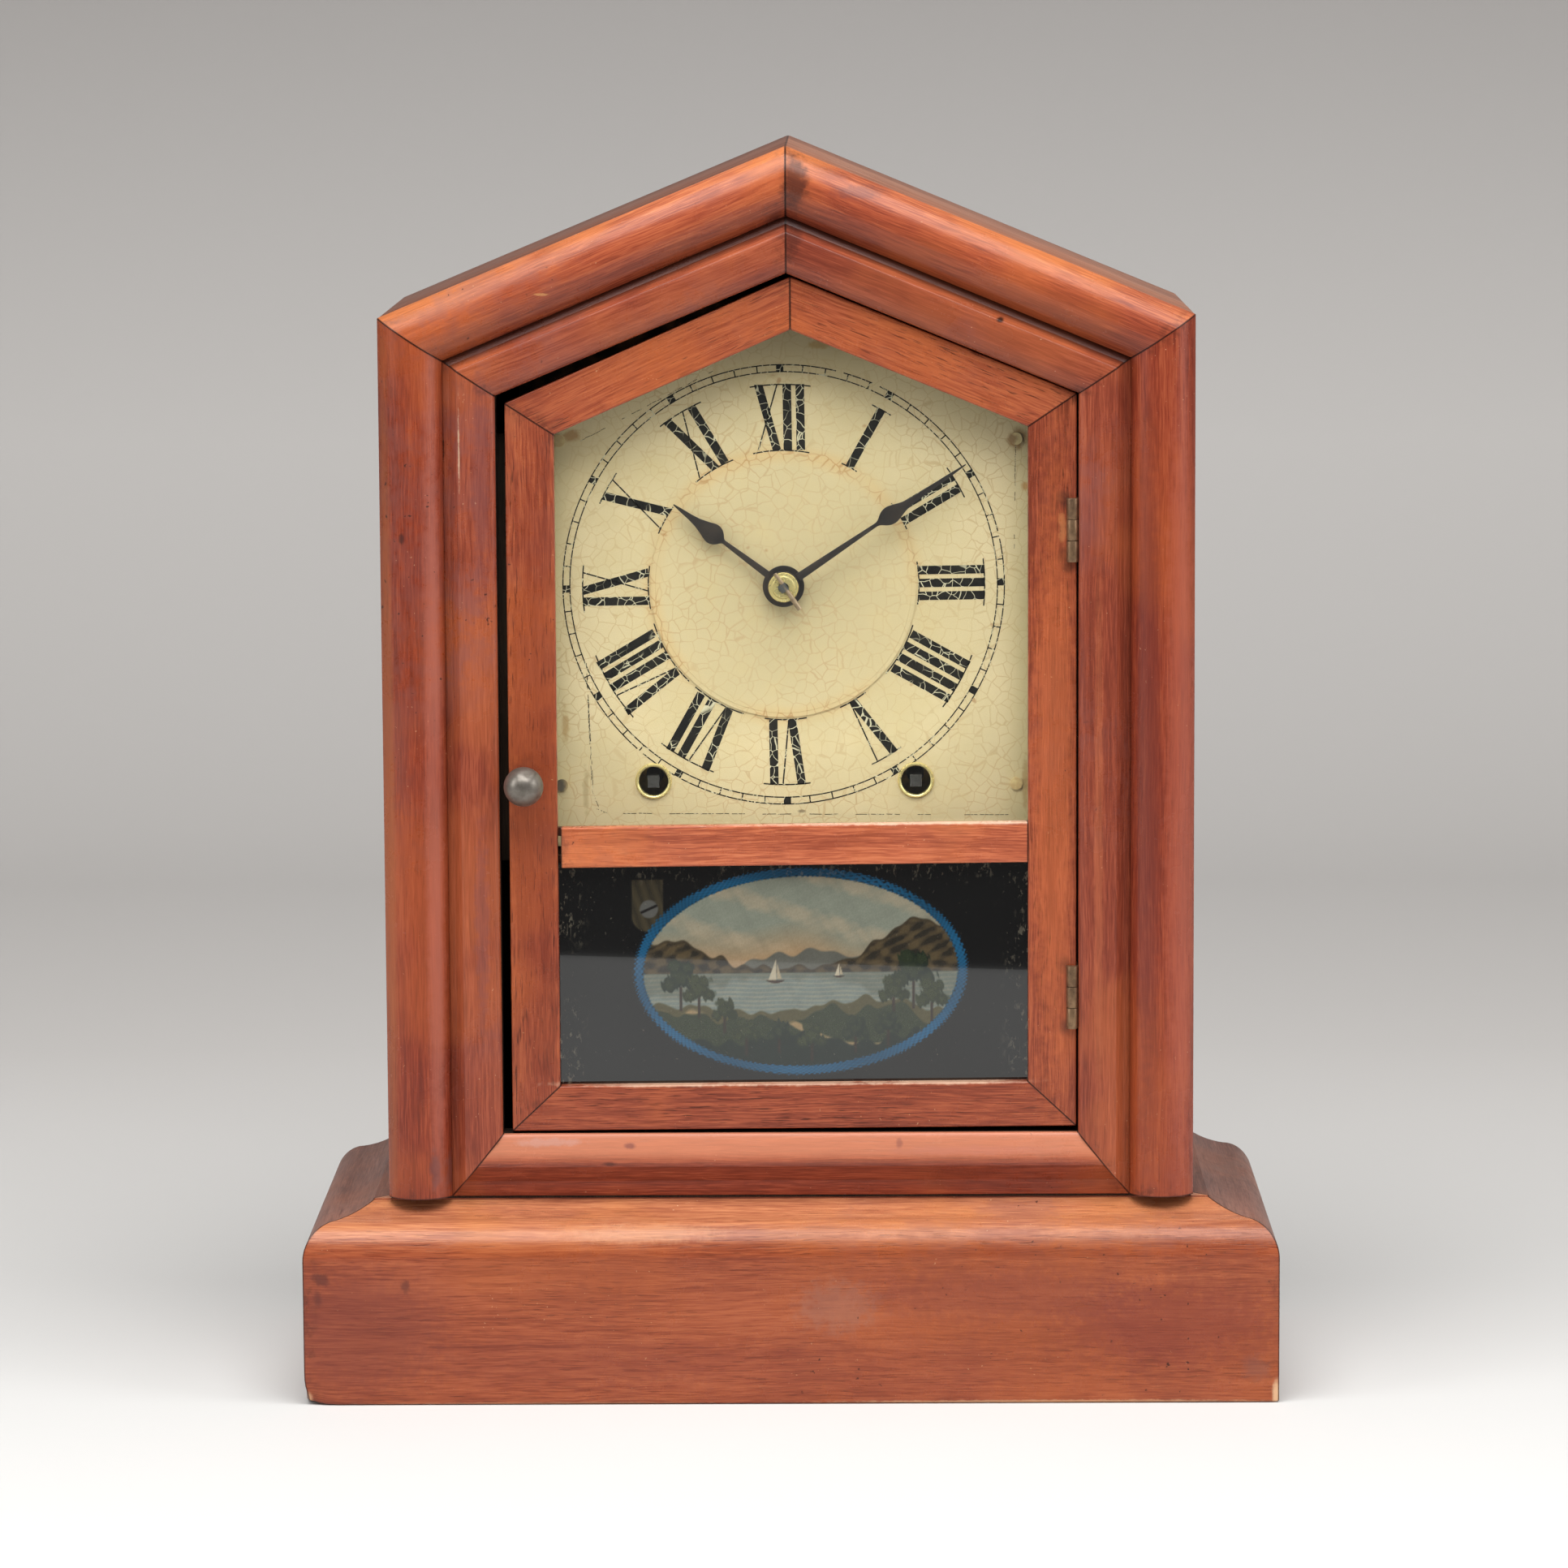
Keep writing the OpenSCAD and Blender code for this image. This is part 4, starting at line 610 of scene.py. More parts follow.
# Base front: over and lit paint a highlight on what faces up, and the pale spot at (-40, 47) along the nose is a
# painted highlight too.
CASE = wood("case_shellac", (120, 54, 34), (150, 74, 46), (170, 92, 58), (216, 166, 124), 0.3, (120, 64, 52),
    pores=0.55, warm_colour=(170, 88, 44), over=0.9, lit=(1.5, 2.35, 2.75),
    spots=((-128.5, 35, 3.0, 2.2, DIRT, 0.6, 1.6), (-129.5, 29.5, 1.6, 2.6, DIRT, 0.55, 1.6),
    (-105.5, 33, 1.6, 2.4, DIRT, 0.55, 1.6), (-132.4, 1.4, 1.4, 2.8, (216, 168, 128), 0.75, 0.8),
    (13, 27, 14, 9, (156, 112, 96), 0.35, 1.6), (127, 9.5, 5, 4.5, (110, 78, 72), 0.35, 1.6),
    (132.8, 2.0, 1.5, 5.0, (224, 182, 142), 0.85, 0.8), (70, 0.3, 75, 0.7, (208, 162, 122), 0.55, 1.4),
    (-70, 0.2, 60, 0.5, (196, 146, 108), 0.35, 1.6), (-118, 20, 32, 24, (114, 54, 46), 0.5, 0.9),
    (-60, 12, 60, 9, (124, 60, 48), 0.25, 1.4), (20, 10, 90, 10, (132, 64, 50), 0.2, 1.6),
    (104, 22, 40, 15, (126, 56, 44), 0.55, 1.3), (60, 30, 50, 9, (122, 58, 48), 0.4, 1.5),
    (-40, 47, 26, 3, (206, 150, 110), 0.35, 1.2)))
SIDE = wood("case_side_shellac", (88, 54, 46), (116, 76, 64), (136, 94, 80), (190, 160, 135), 0.6, (128, 104, 96),
    pores=0.4, sheen=WORN, warm=0.15)
CASE_SIDE = wood("case_side_upright", (88, 54, 46), (116, 76, 64), (136, 94, 80), (190, 160, 135), 0.4,
    (128, 104, 96), pores=0.4, along=UPRIGHT, sheen=WORN, warm=0.15)
ROOF = wood("roof_shellac", (112, 70, 54), (148, 98, 76), (172, 122, 96), (200, 168, 140), 0.4, (156, 124, 108),
    pores=0.4, along="roof", sheen=WORN, warm=0.15)
# The four long bands in these spots, at x -96.6, -109.2, 98.0 and 106.8, are painted highlight and painted shade
# across the round faces of the columns; groove paints shade along their edges.
COLUMN = wood("column_shellac", (106, 42, 28), (136, 57, 37), (158, 78, 50), (222, 174, 134), 0.42, (122, 66, 58),
    warm=0.4, warm_colour=(172, 86, 44), groove=0.12, spots=((-97.5, 63, 2.0, 6.5, (84, 50, 52), 0.8, 1.5),
    (-88, 72, 4, 5, (84, 56, 54), 0.5, 1.7), (-93, 62, 3, 7, (96, 64, 62), 0.5, 1.7),
    (-104.5, 237, 1.0, 1.8, DIRT, 0.7, 0.8), (-96.6, 165, 3.2, 160, (178, 102, 84), 0.45, 0.6),
    (-109.2, 165, 2.4, 160, (156, 92, 58), 0.5, 0.6), (98.0, 175, 4.4, 130, (104, 46, 38), 0.5, 0.7),
    (106.8, 165, 5.4, 150, (172, 92, 72), 0.45, 0.7)))
# Roof mouldings: over and lit paint a highlight along their tops, and under paints shade along their lower sides.
CORNICE = wood("cornice_shellac", (120, 54, 38), (154, 72, 48), (180, 96, 62), (226, 180, 138), 0.42, (132, 76, 66),
    warm=0.4, warm_colour=(192, 102, 54), under=0.5, over=0.9, lit=(1.35, 1.85, 1.8),
    spots=((2.5, 333, 4.5, 10, DIRT, 0.75, 1.3), (20, 330, 9, 2.4, (96, 62, 62), 0.45, 1.4),
    (-3, 322, 3.4, 5, DIRT, 0.5, 1.6), (-66, 303, 2.6, 0.5, BARE, 0.7, 1.6)))
# Surround: over paints a highlight on what faces up; under and groove paint shade on what faces down and in the
# groove by the mouldings, partly dirt.
FRAMING = wood("surround_shellac", (112, 50, 36), (140, 66, 46), (164, 86, 60), (224, 178, 140), 0.5, (130, 78, 72),
    warm_colour=(186, 102, 58), groove=0.1, under=0.35, over=0.5, spots=((57.8, 295.5, 1.3, 1.0, (24, 14, 12), 0.9,
    0.5), (-93.6, 261, 0.9, 5, (30, 16, 14), 0.8, 1.6), (-88.8, 262, 0.3, 13, (206, 176, 146), 0.6, 2.4),
    (2.0, 320, 3.0, 8, DIRT, 0.5, 1.4), (84.5, 150, 1.6, 100, (186, 108, 72), 0.25, 0.9),
    (-83, 250, 3.0, 40, (112, 66, 66), 0.45, 1.8), (-84, 130, 2.4, 36, (118, 70, 70), 0.4, 1.8)))
# Bottom of the surround: the wide pale band at z 70.4 along its slope is a painted highlight from the lamp above,
# and over adds to it.
SILL = wood("sill_shellac", (112, 50, 36), (140, 64, 44), (164, 84, 58), (224, 178, 140), 0.3, (130, 74, 62),
    warm_colour=(186, 102, 58), over=0.6, spots=((0, 70.4, 400, 7.0, (210, 140, 108), 0.58, 0.12),
    (-44.3, 69.0, 2.2, 1.0, (120, 74, 70), 0.7, 1.2), (-49.6, 64.2, 2.6, 0.9, DIRT, 0.6, 1.4),
    (30, 69.5, 1.2, 1.6, (120, 74, 70), 0.5, 1.4), (50, 67.5, 30, 1.6, (176, 112, 96), 0.4, 1.2),
    (-66, 70, 12, 1.4, (186, 150, 140), 0.4, 1.6)))
DOOR = wood("door_shellac", (112, 50, 34), (148, 72, 48), (176, 96, 62), (222, 174, 130), 0.18, (120, 66, 56),
    pores=1.0, warm=0.45, warm_colour=(188, 100, 52), spots=((75.2, 246.5, 2.4, 3.4, DIRT, 0.75, 1.3),
    (75.0, 231.5, 2.0, 3.0, DIRT, 0.7, 1.4), (76.0, 228.0, 2.2, 2.0, DIRT, 0.7, 1.2),
    (74.6, 238.5, 1.3, 5.5, BARE, 0.35, 2.2), (75.2, 118.5, 2.2, 3.0, DIRT, 0.6, 1.4),
    (75.2, 101.5, 2.0, 3.0, DIRT, 0.6, 1.4), (-72, 169.6, 6.5, 9.0, (64, 34, 28), 0.45, 1.2),
    (72.5, 170, 8, 110, (208, 112, 64), 0.35, 1.0), (-70, 170, 9, 120, (122, 46, 26), 0.4, 0.8),
    (-36, 85.9, 32, 1.2, (216, 180, 152), 0.7, 1.0), (2, 86.1, 32, 1.2, (216, 180, 152), 0.6, 1.2),
    (40, 86.3, 30, 1.2, (216, 180, 152), 0.7, 1.0)))
RAIL = wood("door_rail_shellac", (144, 70, 48), (186, 100, 68), (206, 124, 86), (232, 190, 150), 0.2, (134, 78, 64),
    pores=0.35, warm=0.4, warm_colour=(208, 118, 62), spots=((0, 158.3, 140, 1.1, (226, 198, 172), 0.7, 1.0),))
INSIDE = wood("bare_wood", (66, 46, 32), (96, 70, 48), (120, 92, 64), (150, 122, 90), 0.5, (104, 90, 74), pores=0.5,
    along=(0, 0, 0), sheen=RAW, warm=0.2, warm_colour=(110, 76, 46))
# The upright inside boards are painted much darker than the flat ones: painted shade inside the closed case.
INSIDE_UP = wood("bare_wood_upright", (36, 26, 20), (52, 38, 28), (68, 52, 38), (96, 80, 62), 0.5, (60, 52, 44),
    pores=0.5, along=UPRIGHT, sheen=RAW, warm=0.2, warm_colour=(70, 48, 32))

BRASS = metal("clock_brass", (196, 160, 92), (120, 90, 48), rough=(0.28, 0.45), amount=0.6)
WHEEL = metal("wheel_brass", (206, 170, 98), (130, 98, 52), rough=(0.22, 0.4), amount=0.5)
EYELET = metal("eyelet_brass", (232, 214, 150), (204, 180, 112), metallic=0.7, rough=(0.22, 0.32), amount=0.3,
    bump=0.0)
HINGE = metal("hinge_brass", (142, 114, 86), (92, 70, 54), metallic=0.75, rough=(0.34, 0.46), amount=0.7, speck=0.3,
    bump=0.03)
STEEL = metal("turned_steel", (150, 150, 152), (96, 92, 90), rough=(0.28, 0.5), amount=0.6, speck=0.3)
ARBOR = metal("arbor_iron", (84, 82, 80), (58, 54, 50), metallic=0.7, rough=(0.40, 0.55), amount=0.6, speck=0.3)
BLUED = metal("blued_spring", (62, 70, 88), (52, 46, 48), rough=(0.25, 0.45), amount=0.6)
PIN = metal("pin_iron", (168, 146, 122), (112, 88, 66), metallic=0.7, rough=(0.35, 0.5), amount=0.7, speck=0.3)
HANDS = metal("hand_steel", (54, 50, 50), (70, 58, 48), metallic=0.6, rough=(0.32, 0.5), amount=0.5)
JAPAN = metal("black_gong", (30, 31, 34), (54, 48, 44), metallic=0.6, rough=(0.35, 0.55), amount=0.5)
KNOB_METAL = metal("knob_grey", (124, 118, 110), (98, 92, 84), metallic=0.65, rough=(0.30, 0.42), amount=0.75,
                   speck=0.35, speck_colour=(70, 60, 52))


def dial_material(name, ink):
    """Old oil paint on zinc, crazed and yellowed; the ink has broken into small scales."""
    mat, t, sh = material(name, Specular_IOR_Level=0.12, Roughness=0.55)
    v = t.place()
    flat = t.stretch(v, 1, 0.02, 1)
    warp = t.shift(t.noise(flat, 220.0, 2.0, out=1), (0.0022, 0.0, 0.0022), flat)
    size, low, high = (350.0, 0.012, 0.036) if ink else (290.0, 0.010, 0.050)
    crack = t.add("TexVoronoi", settings={"feature": "DISTANCE_TO_EDGE"}, Vector=warp, Scale=size)
    area, fine = t.noise(flat, 22.0, 3.0), t.noise(flat, 120.0, 4.0, 0.6)
    line = 1.0 - t.ramp(crack, low, high)
    if ink:
        keep = t.ramp(t.noise(flat, 90.0, 2.0), 0.34, 0.50)
        base = t.coats(srgb(20, 19, 18), (t.ramp(fine, 0.3, 0.7), (38, 34, 29)),
                       (line * keep * 0.85, (220, 210, 178)))
    else:
        bead = 0.0362
        x, _, z = t.xyz(v)
        out = t.math("ABSOLUTE", x)
        dx, dz = x - HAND[0] / 1000, z - HAND[1] / 1000
        r = t.math("SQRT", dx * dx + dz * dz)
        off = t.math("ABSOLUTE", r - bead)
        halo = (1.0 - t.ramp(off, 0.0004, 0.0040)) * t.ramp(area, 0.36, 0.56)
        shade = t.largest(1.0 - t.ramp(r, 0.016, 0.066), t.ramp(0.195 - z, 0.0, 0.03) * 0.62)
        web = line * t.largest(halo, 0.28 + t.ramp(area, 0.44, 0.62) * 0.3)
        spot = t.ramp(t.noise(flat, 260.0, 1.0), 0.72, 0.78) * t.ramp(t.noise(flat, 30.0, 1.0), 0.5, 0.6)
        base = t.coats(srgb(212, 192, 150), (t.ramp(area, 0.35, 0.65), (222, 202, 162)),
                       (shade * 0.85, (188, 170, 132)), (t.ramp(fine, 0.45, 0.75) * 0.22, (204, 180, 130)),
                       (halo * 0.30, (206, 158, 92)), (web * 0.6, (168, 120, 70)), (spot * 0.5, (160, 100, 48)))
        base = spotted(t, base, v, (
            (63, 262, 3.4, 3.6, (142, 92, 46), 0.9, 1.2), (65, 249, 1.6, 1.6, (190, 120, 50), 0.8, 1.0),
            (-59, 263.5, 3.0, 2.0, (168, 116, 60), 0.7, 1.6), (-61.5, 184, 1.4, 5, (170, 124, 66), 0.6, 1.8),
            (65, 167, 1.0, 9, (156, 112, 60), 0.6, 1.8), (3.5, 159.6, 1.4, 0.6, (110, 96, 76), 0.7, 1.0),
            (-56, 166, 1.2, 9, (150, 128, 84), 0.45, 1.8), (9, 288, 5, 1.4, (190, 148, 84), 0.6, 1.6)))
        # Painted shade: beyond the door's opening, where the dial lies behind the door, the rim mask paints it near
        # black.
        rim = t.largest(t.ramp(z + out * TAN, 0.2955, 0.2975), t.ramp(out, 0.0675, 0.0685))
        base = t.coats(base, (t.ramp(out, 0.056, 0.068) * 0.4, (188, 172, 120)))
        base = t.mix(rim, base, t.coats(srgb(30, 21, 15), (t.ramp(fine, 0.4, 0.7), (84, 60, 36))))
    t.wire(sh, Base_Color=base, Normal=t.bump(0.2, 0.0001, fine * 0.3 - line * 0.5))
    return mat


DIAL = dial_material("dial_paint", False)
INK = dial_material("dial_ink", True)


def clear_glass():
    """Old window glass; shadow rays pass straight through it, so that the dial behind is lit."""
    mat, t, sh = material("clear_glass", Roughness=0.0, IOR=1.5, Transmission_Weight=1.0)
    v = t.place()
    t.wire(sh, Base_Color=t.coats(srgb(250, 252, 250), (t.noise(v, 30.0, 2.0), (243, 248, 244))),
           Normal=t.bump(0.02, 0.0005, t.noise(v, 18.0, 2.0)))
    partly_clear(mat, t, sh, t.add("LightPath", out=1), Color=(0.97, 0.98, 0.97, 1))
    return mat


GLASS = clear_glass()


def tablet_material():
    """Paint seen through glass: its colours come from the piece, with rubbed specks over them."""
    mat, t, sh = material("tablet_paint", Roughness=0.03, IOR=1.5, Coat_Roughness=0.0)
    v = t.place()
    x, _, z = t.xyz(v)
    side = t.largest(t.ramp(x * -1.0, 0.054, 0.064), t.ramp(x, 0.056, 0.068))
    top = t.ramp(z, 0.139, 0.145) * 0.6
    edge = t.largest(side, top) * t.ramp(t.noise(v, 60.0, 3.0), 0.38, 0.52)
    chip = t.ramp(t.noise(t.stretch(v, 1.0, 1.0, 0.55), 700.0, 5.0, 0.75), 0.56, 0.62)
    hair = t.ramp(t.noise(t.stretch(v, 2600, 1, 90), 1.0, 1.0), 0.72, 0.76)
    stray = t.ramp(t.noise(v, 1300.0, 2.0), 0.72, 0.76) * 0.5
    specks = t.largest(t.largest(chip, hair) * edge, stray)
    t.wire(sh, Base_Color=t.coats(t.attribute("paint", 0), (specks * 0.6, (122, 116, 100))),
           Coat_Weight=0.44 + t.noise(v, 30.0, 1.0) * 0.2)
    return mat


TABLET = tablet_material()

# Stage, light and camera


def stage_sheet():
    """A pale sheet that runs forward on the table and rises behind the clock in a long curve. Its back is
    clear, so that the clock is seen from behind too."""
    y = np.array([-0.76, -0.45, -0.2, 0.2, 0.6, 0.9])
    a = radians(np.linspace(0, 90, 16))[1:]
    path = np.concatenate([np.stack([y, 0 * y], 1), np.stack([0.9 + 0.5 * sin(a), 0.5 - 0.5 * cos(a)], 1),
                           [[1.4, 1.6], [1.4, 2.6]]])
    x = np.array([-2.2, -1.0, 1.0, 2.2])
    shape = (len(path), len(x))
    p = np.stack([np.broadcast_to(x, shape), np.broadcast_to(path[:, :1], shape),
                  np.broadcast_to(path[:, 1:] - 0.0002, shape)], -1)
    p[0, :, 1] += 0.22 * np.clip(x, -1, 1)
    me = finish_mesh("paper_sweep", p.reshape(-1, 3) * 1000, grid_faces(*shape), turn=False, sharp=0)
    mat, t, sh = material("paper", Specular_IOR_Level=0.1, Roughness=0.7)
    # Painted shade: the paper's colour darkens farther back and higher up, for the light that falls off away from
    # the lamps.
    _, y, z = t.xyz(t.place())
    far = t.add("MapRange", Value=y, From_Min=-0.25, From_Max=0.5)
    up = t.add("MapRange", Value=z, From_Min=0.16, From_Max=0.53)
    t.wire(sh, Base_Color=t.coats(srgb(219, 219, 217), (far, (194, 191, 188)), (up, (140, 136, 134))))
    partly_clear(mat, t, sh, t.add("NewGeometry", out="Backfacing"))
    me.materials.append(mat)
    placed("paper_sweep", me)


stage_sheet()
bpy.context.scene.view_settings.view_transform = "Standard"


def area_light(name, where, aim, size, power):
    """A soft rectangular lamp at a place, turned to face a point."""
    data = bpy.data.lights.new(name, "AREA")
    data.shape, data.size, data.size_y, data.energy = "RECTANGLE", size[0], size[1], power
    ob = placed(name, data)
    ob.location = where
    ob.rotation_euler = (Vector(aim) - Vector(where)).to_track_quat("-Z", "Y").to_euler()


area_light("top_softbox", (0.0, -0.75, 1.65), (0, -0.05, 0.15), (1.7, 1.3), 43)
area_light("left_softbox", (-1.5, -0.75, 0.9), (0, 0, 0.2), (0.8, 1.3), 11)
area_light("right_softbox", (1.5, -0.6, 0.8), (0, 0, 0.2), (0.8, 1.2), 12.5)

world = bpy.context.scene.world or bpy.data.worlds.new("room")
bpy.context.scene.world = world
world.use_nodes = True
Tree(world.node_tree).wire(world.node_tree.nodes["Background"], Color=(1.0, 0.98, 0.96, 1), Strength=0.14)

camera_data = bpy.data.cameras.new("photo_camera")
camera_data.sensor_width, camera_data.lens = 36.0, 142.2
camera_data.clip_end = 30
camera = placed("photo_camera", camera_data)
bpy.context.scene.camera = camera
camera.matrix_world = Matrix.Translation((0.015, -1.717, 0.395))
for degrees, axis in ((0.556, "Z"), (90 - 7.68, "X"), (-0.32, "Z")):
    camera.matrix_world = camera.matrix_world @ Matrix.Rotation(radians(degrees), 4, axis)

# Base


def corner_wear(p):
    """The lower left corner of the base is worn round: points near it move up and inwards by a bell curve."""
    corner = np.array([-BASE_W / 2, FRONT_Y, 0.0])
    w = exp(-(np.linalg.norm(p - corner, axis=-1) / 4.2) ** 2)
    return p + w[..., None] * np.array([1.1, 0.8, 1.0])


def base_profile():
    """Face, rounded nose (quarter of an ellipse), hollow (arc between two angles) and small step."""
    face, foot = 40, radians(HOLLOW_FROM)
    nose = [[NOSE_D * (1 - cos(a)), face + (NOSE_Z - face) * sin(a), 0] for a in radians(np.linspace(0, 90, 15))]
    hollow = [[NOSE_D + HOLLOW_R * (sin(a) - sin(foot)), NOSE_Z + HOLLOW_R * (cos(foot) - cos(a)), 0]
              for a in radians(np.linspace(HOLLOW_FROM, HOLLOW_TO, 9)[1:])]
    top = [[hollow[-1][0], BASE_TOP, 0.2], [BASE_T, BASE_TOP, 0], [BASE_T, 0, 0]]
    return section([[0, 0, 0.7]] + nose + hollow + top, 2.0)


BASE_SECTION = base_profile()
HALF_B = BASE_W / 2
FRONT_LEFT, FRONT_RIGHT = (-HALF_B, FRONT_Y, 0), (HALF_B, FRONT_Y, 0)
for k, (name, node, mat, a, b, inward, mitres, bend) in enumerate((
        ("base_front_board", "base_front", CASE, FRONT_LEFT, FRONT_RIGHT, (0, 1, 0), (1, 1), corner_wear),
        ("base_left_board", "base_sides", SIDE, (-HALF_B, BACK_Y, 0), FRONT_LEFT, (1, 0, 0), (0, 1), corner_wear),
        ("base_right_board", "base_sides", SIDE, FRONT_RIGHT, (HALF_B, BACK_Y, 0), (-1, 0, 0), (1, 0), None))):
    me = sweep(name, a, b, inward, (0, 0, 1), BASE_SECTION, *mitres, 3 + k, 0.05, bend)
    add(name, me, "case", "case_wood", mat, node)

# Mouldings


def round_profile():
    """A flat arc over its chord, on a foot; its radius follows from the chord and the rise."""
    rise, foot, n = 5.5, 1.0, 30
    r = (MOULD_W ** 2 / 4 + rise ** 2) / (2 * rise)
    half = np.degrees(np.arcsin(MOULD_W / 2 / r))
    top = arc_points(MOULD_W / 2, rise + foot - r, r, 90 - half, 90 + half, n)[::-1]
    return section([[0, 0, 0]] + [[x, y, 0.25 if k in (0, n - 1) else 0] for k, (x, y) in enumerate(top)]
                   + [[MOULD_W, 0, 0]], 1.0)


def surround_profile(w, at, flat=0.0):
    """Steep outer side, ridge, and a slope that falls as a quarter of a cosine, or flat parts of it straight."""
    t = np.linspace(0, 1, 12)
    fall = (1 - flat) * cos(t * pi / 2) ** 0.8 + flat * (1 - sin(t * pi / 2))
    slope = [[at + 0.35 + (w - at - 0.35) * sin(u * pi / 2), 1.5 + 2.75 * f, 0] for u, f in zip(t, fall)]
    slope[-1][2] = 0.3
    side = [[0, 0, 0], [0, 0.6, 0.2], [at * 0.45, 1.7, 0.8], [at * 0.9, 3.98, 0.5]]
    return section(side + slope + [[w, 0, 0]], 0.9)


ROUND = round_profile()
SURROUND = surround_profile(SURROUND_W, 4.4)
SURROUND_LOW = surround_profile(SURROUND_LOW_W, 9.6, 0.7)
for i, name in ((1, "column_right"), (2, "roof_moulding_right"), (3, "roof_moulding_left"), (4, "column_left")):
    me = front_piece(name + "_round", i, OUTER, JOINT, CASE_Y, ROUND, 11 + i, 0.12)
    add(name + "_round", me, "case", "moulding_wood", COLUMN if "column" in name else CORNICE, name)
for i, name in ((0, "surround_bottom"), (1, "surround_right"), (2, "surround_top_right"), (3, "surround_top_left"),
                (4, "surround_left")):
    me = front_piece(name + "_ridge", i, JOINT, OPENING, CASE_Y, SURROUND_LOW if i == 0 else SURROUND, 21 + i, 0.08)
    add(name + "_ridge", me, "case", "moulding_wood", SILL if i == 0 else FRAMING, name)

# Door


def door_profile(w):
    """Section of a door member from its outer edge inwards, with the rebate for the glass at the back."""
    return section([[0, 0, 0], [0, DOOR_T, 0.5], [w, DOOR_T, 0.55], [w, LIP, 0.15], [w - REBATE, LIP, 0],
                    [w - REBATE, 0, 0]], 0.9)


def rack(p):
    """The same rack for points with a depth."""
    q = p.copy()
    flat = sunk(p[..., [0, 2]])
    q[..., 0], q[..., 2] = flat[..., 0], flat[..., 1]
    return q


for i, name in ((0, "door_rail_bottom"), (1, "door_stile_right"), (2, "door_rail_top_right"),
                (3, "door_rail_top_left"), (4, "door_stile_left")):
    prof = door_profile(LOW_RAIL_W if i == 0 else STILE_W)
    me = front_piece(name + "_wood", i, DOOR_OUT, DOOR_IN, DOOR_BACK, prof, 31 + i, 0.05, rack)
    add(name + "_wood", me, "door", "door_wood", DOOR, name)


def middle_rail():
    """A rail with a rebate above and below, its ends square against the stiles."""
    h = 11.1
    prof = section([[0, LIP, 0.15], [0, DOOR_T, 0.5], [h, DOOR_T, 0.5], [h, LIP, 0.15], [h - REBATE, LIP, 0],
                    [h - REBATE, 0, 0], [REBATE, 0, 0], [REBATE, LIP, 0]], 0.9)
    a, b = (DOOR_IN[0][0] + 0.9, MIDDLE_Z), (DOOR_IN[1][0], MIDDLE_Z)
    return sweep("door_rail_middle_wood", xz(a, DOOR_BACK), xz(b, DOOR_BACK), (0, 0, 1), (0, -1, 0), prof, 0, 0, 41,
                 0.05, rack)


add("door_rail_middle_wood", middle_rail(), "door", "door_wood", RAIL, "door_rail_middle")

# Plain CAD pieces with their edges softened


def stain_outer_edge(me):
    """The front frame is bare inside, but its outer edges show at the sides and are stained like them."""
    n = len(me.polygons)
    centre, normal = np.empty(n * 3), np.empty(n * 3)
    me.polygons.foreach_get("center", centre)
    me.polygons.foreach_get("normal", normal)
    centre, normal = centre.reshape(-1, 3), normal.reshape(-1, 3)
    away = (centre[:, 0] * normal[:, 0] + (centre[:, 2] - 0.2) * normal[:, 2]) > 0
    me.materials.append(CASE_SIDE)
    me.polygons.foreach_set("material_index", (away & (abs(normal[:, 1]) < 0.5)).astype(np.int32))


for node, mat, slot, bevel in (
        ("base_back_rail", INSIDE, "inside_wood", 0.5), ("case_floor", INSIDE, "inside_wood", 0),
        ("glue_blocks", INSIDE, "inside_wood", 0.4), ("side_boards", CASE_SIDE, "case_wood", 0.5),
        ("roof_boards", ROOF, "case_wood", 0.6), ("back_board", INSIDE_UP, "inside_wood", 0.3),
        ("front_frame", INSIDE_UP, "inside_wood", 0), ("dial_rails", INSIDE_UP, "inside_wood", 0.2),
        ("seat_blocks", INSIDE, "inside_wood", 0.2), ("glass_strips", DOOR, "door_wood", 0)):
    me = merged(node, bevel)
    add(node + "_soft", me, "door" if node == "glass_strips" else "case", slot, mat, node)
    if node == "front_frame":
        stain_outer_edge(me)

# Glass and tablet

dress("dial_glass", GLASS)


def soft(v, edge=0.25):
    """1 where v is above 0, else 0, with an edge of some width."""
    return np.clip(0.5 + v / edge, 0, 1)


def lay(col, mask, colour):
    """Paints a colour (0 to 255) over an array of colours, as far as the mask covers it."""
    m = np.clip(mask, 0, 1)[..., None]
    col[:] = col * (1 - m) + np.asarray(colour) / 255 * m


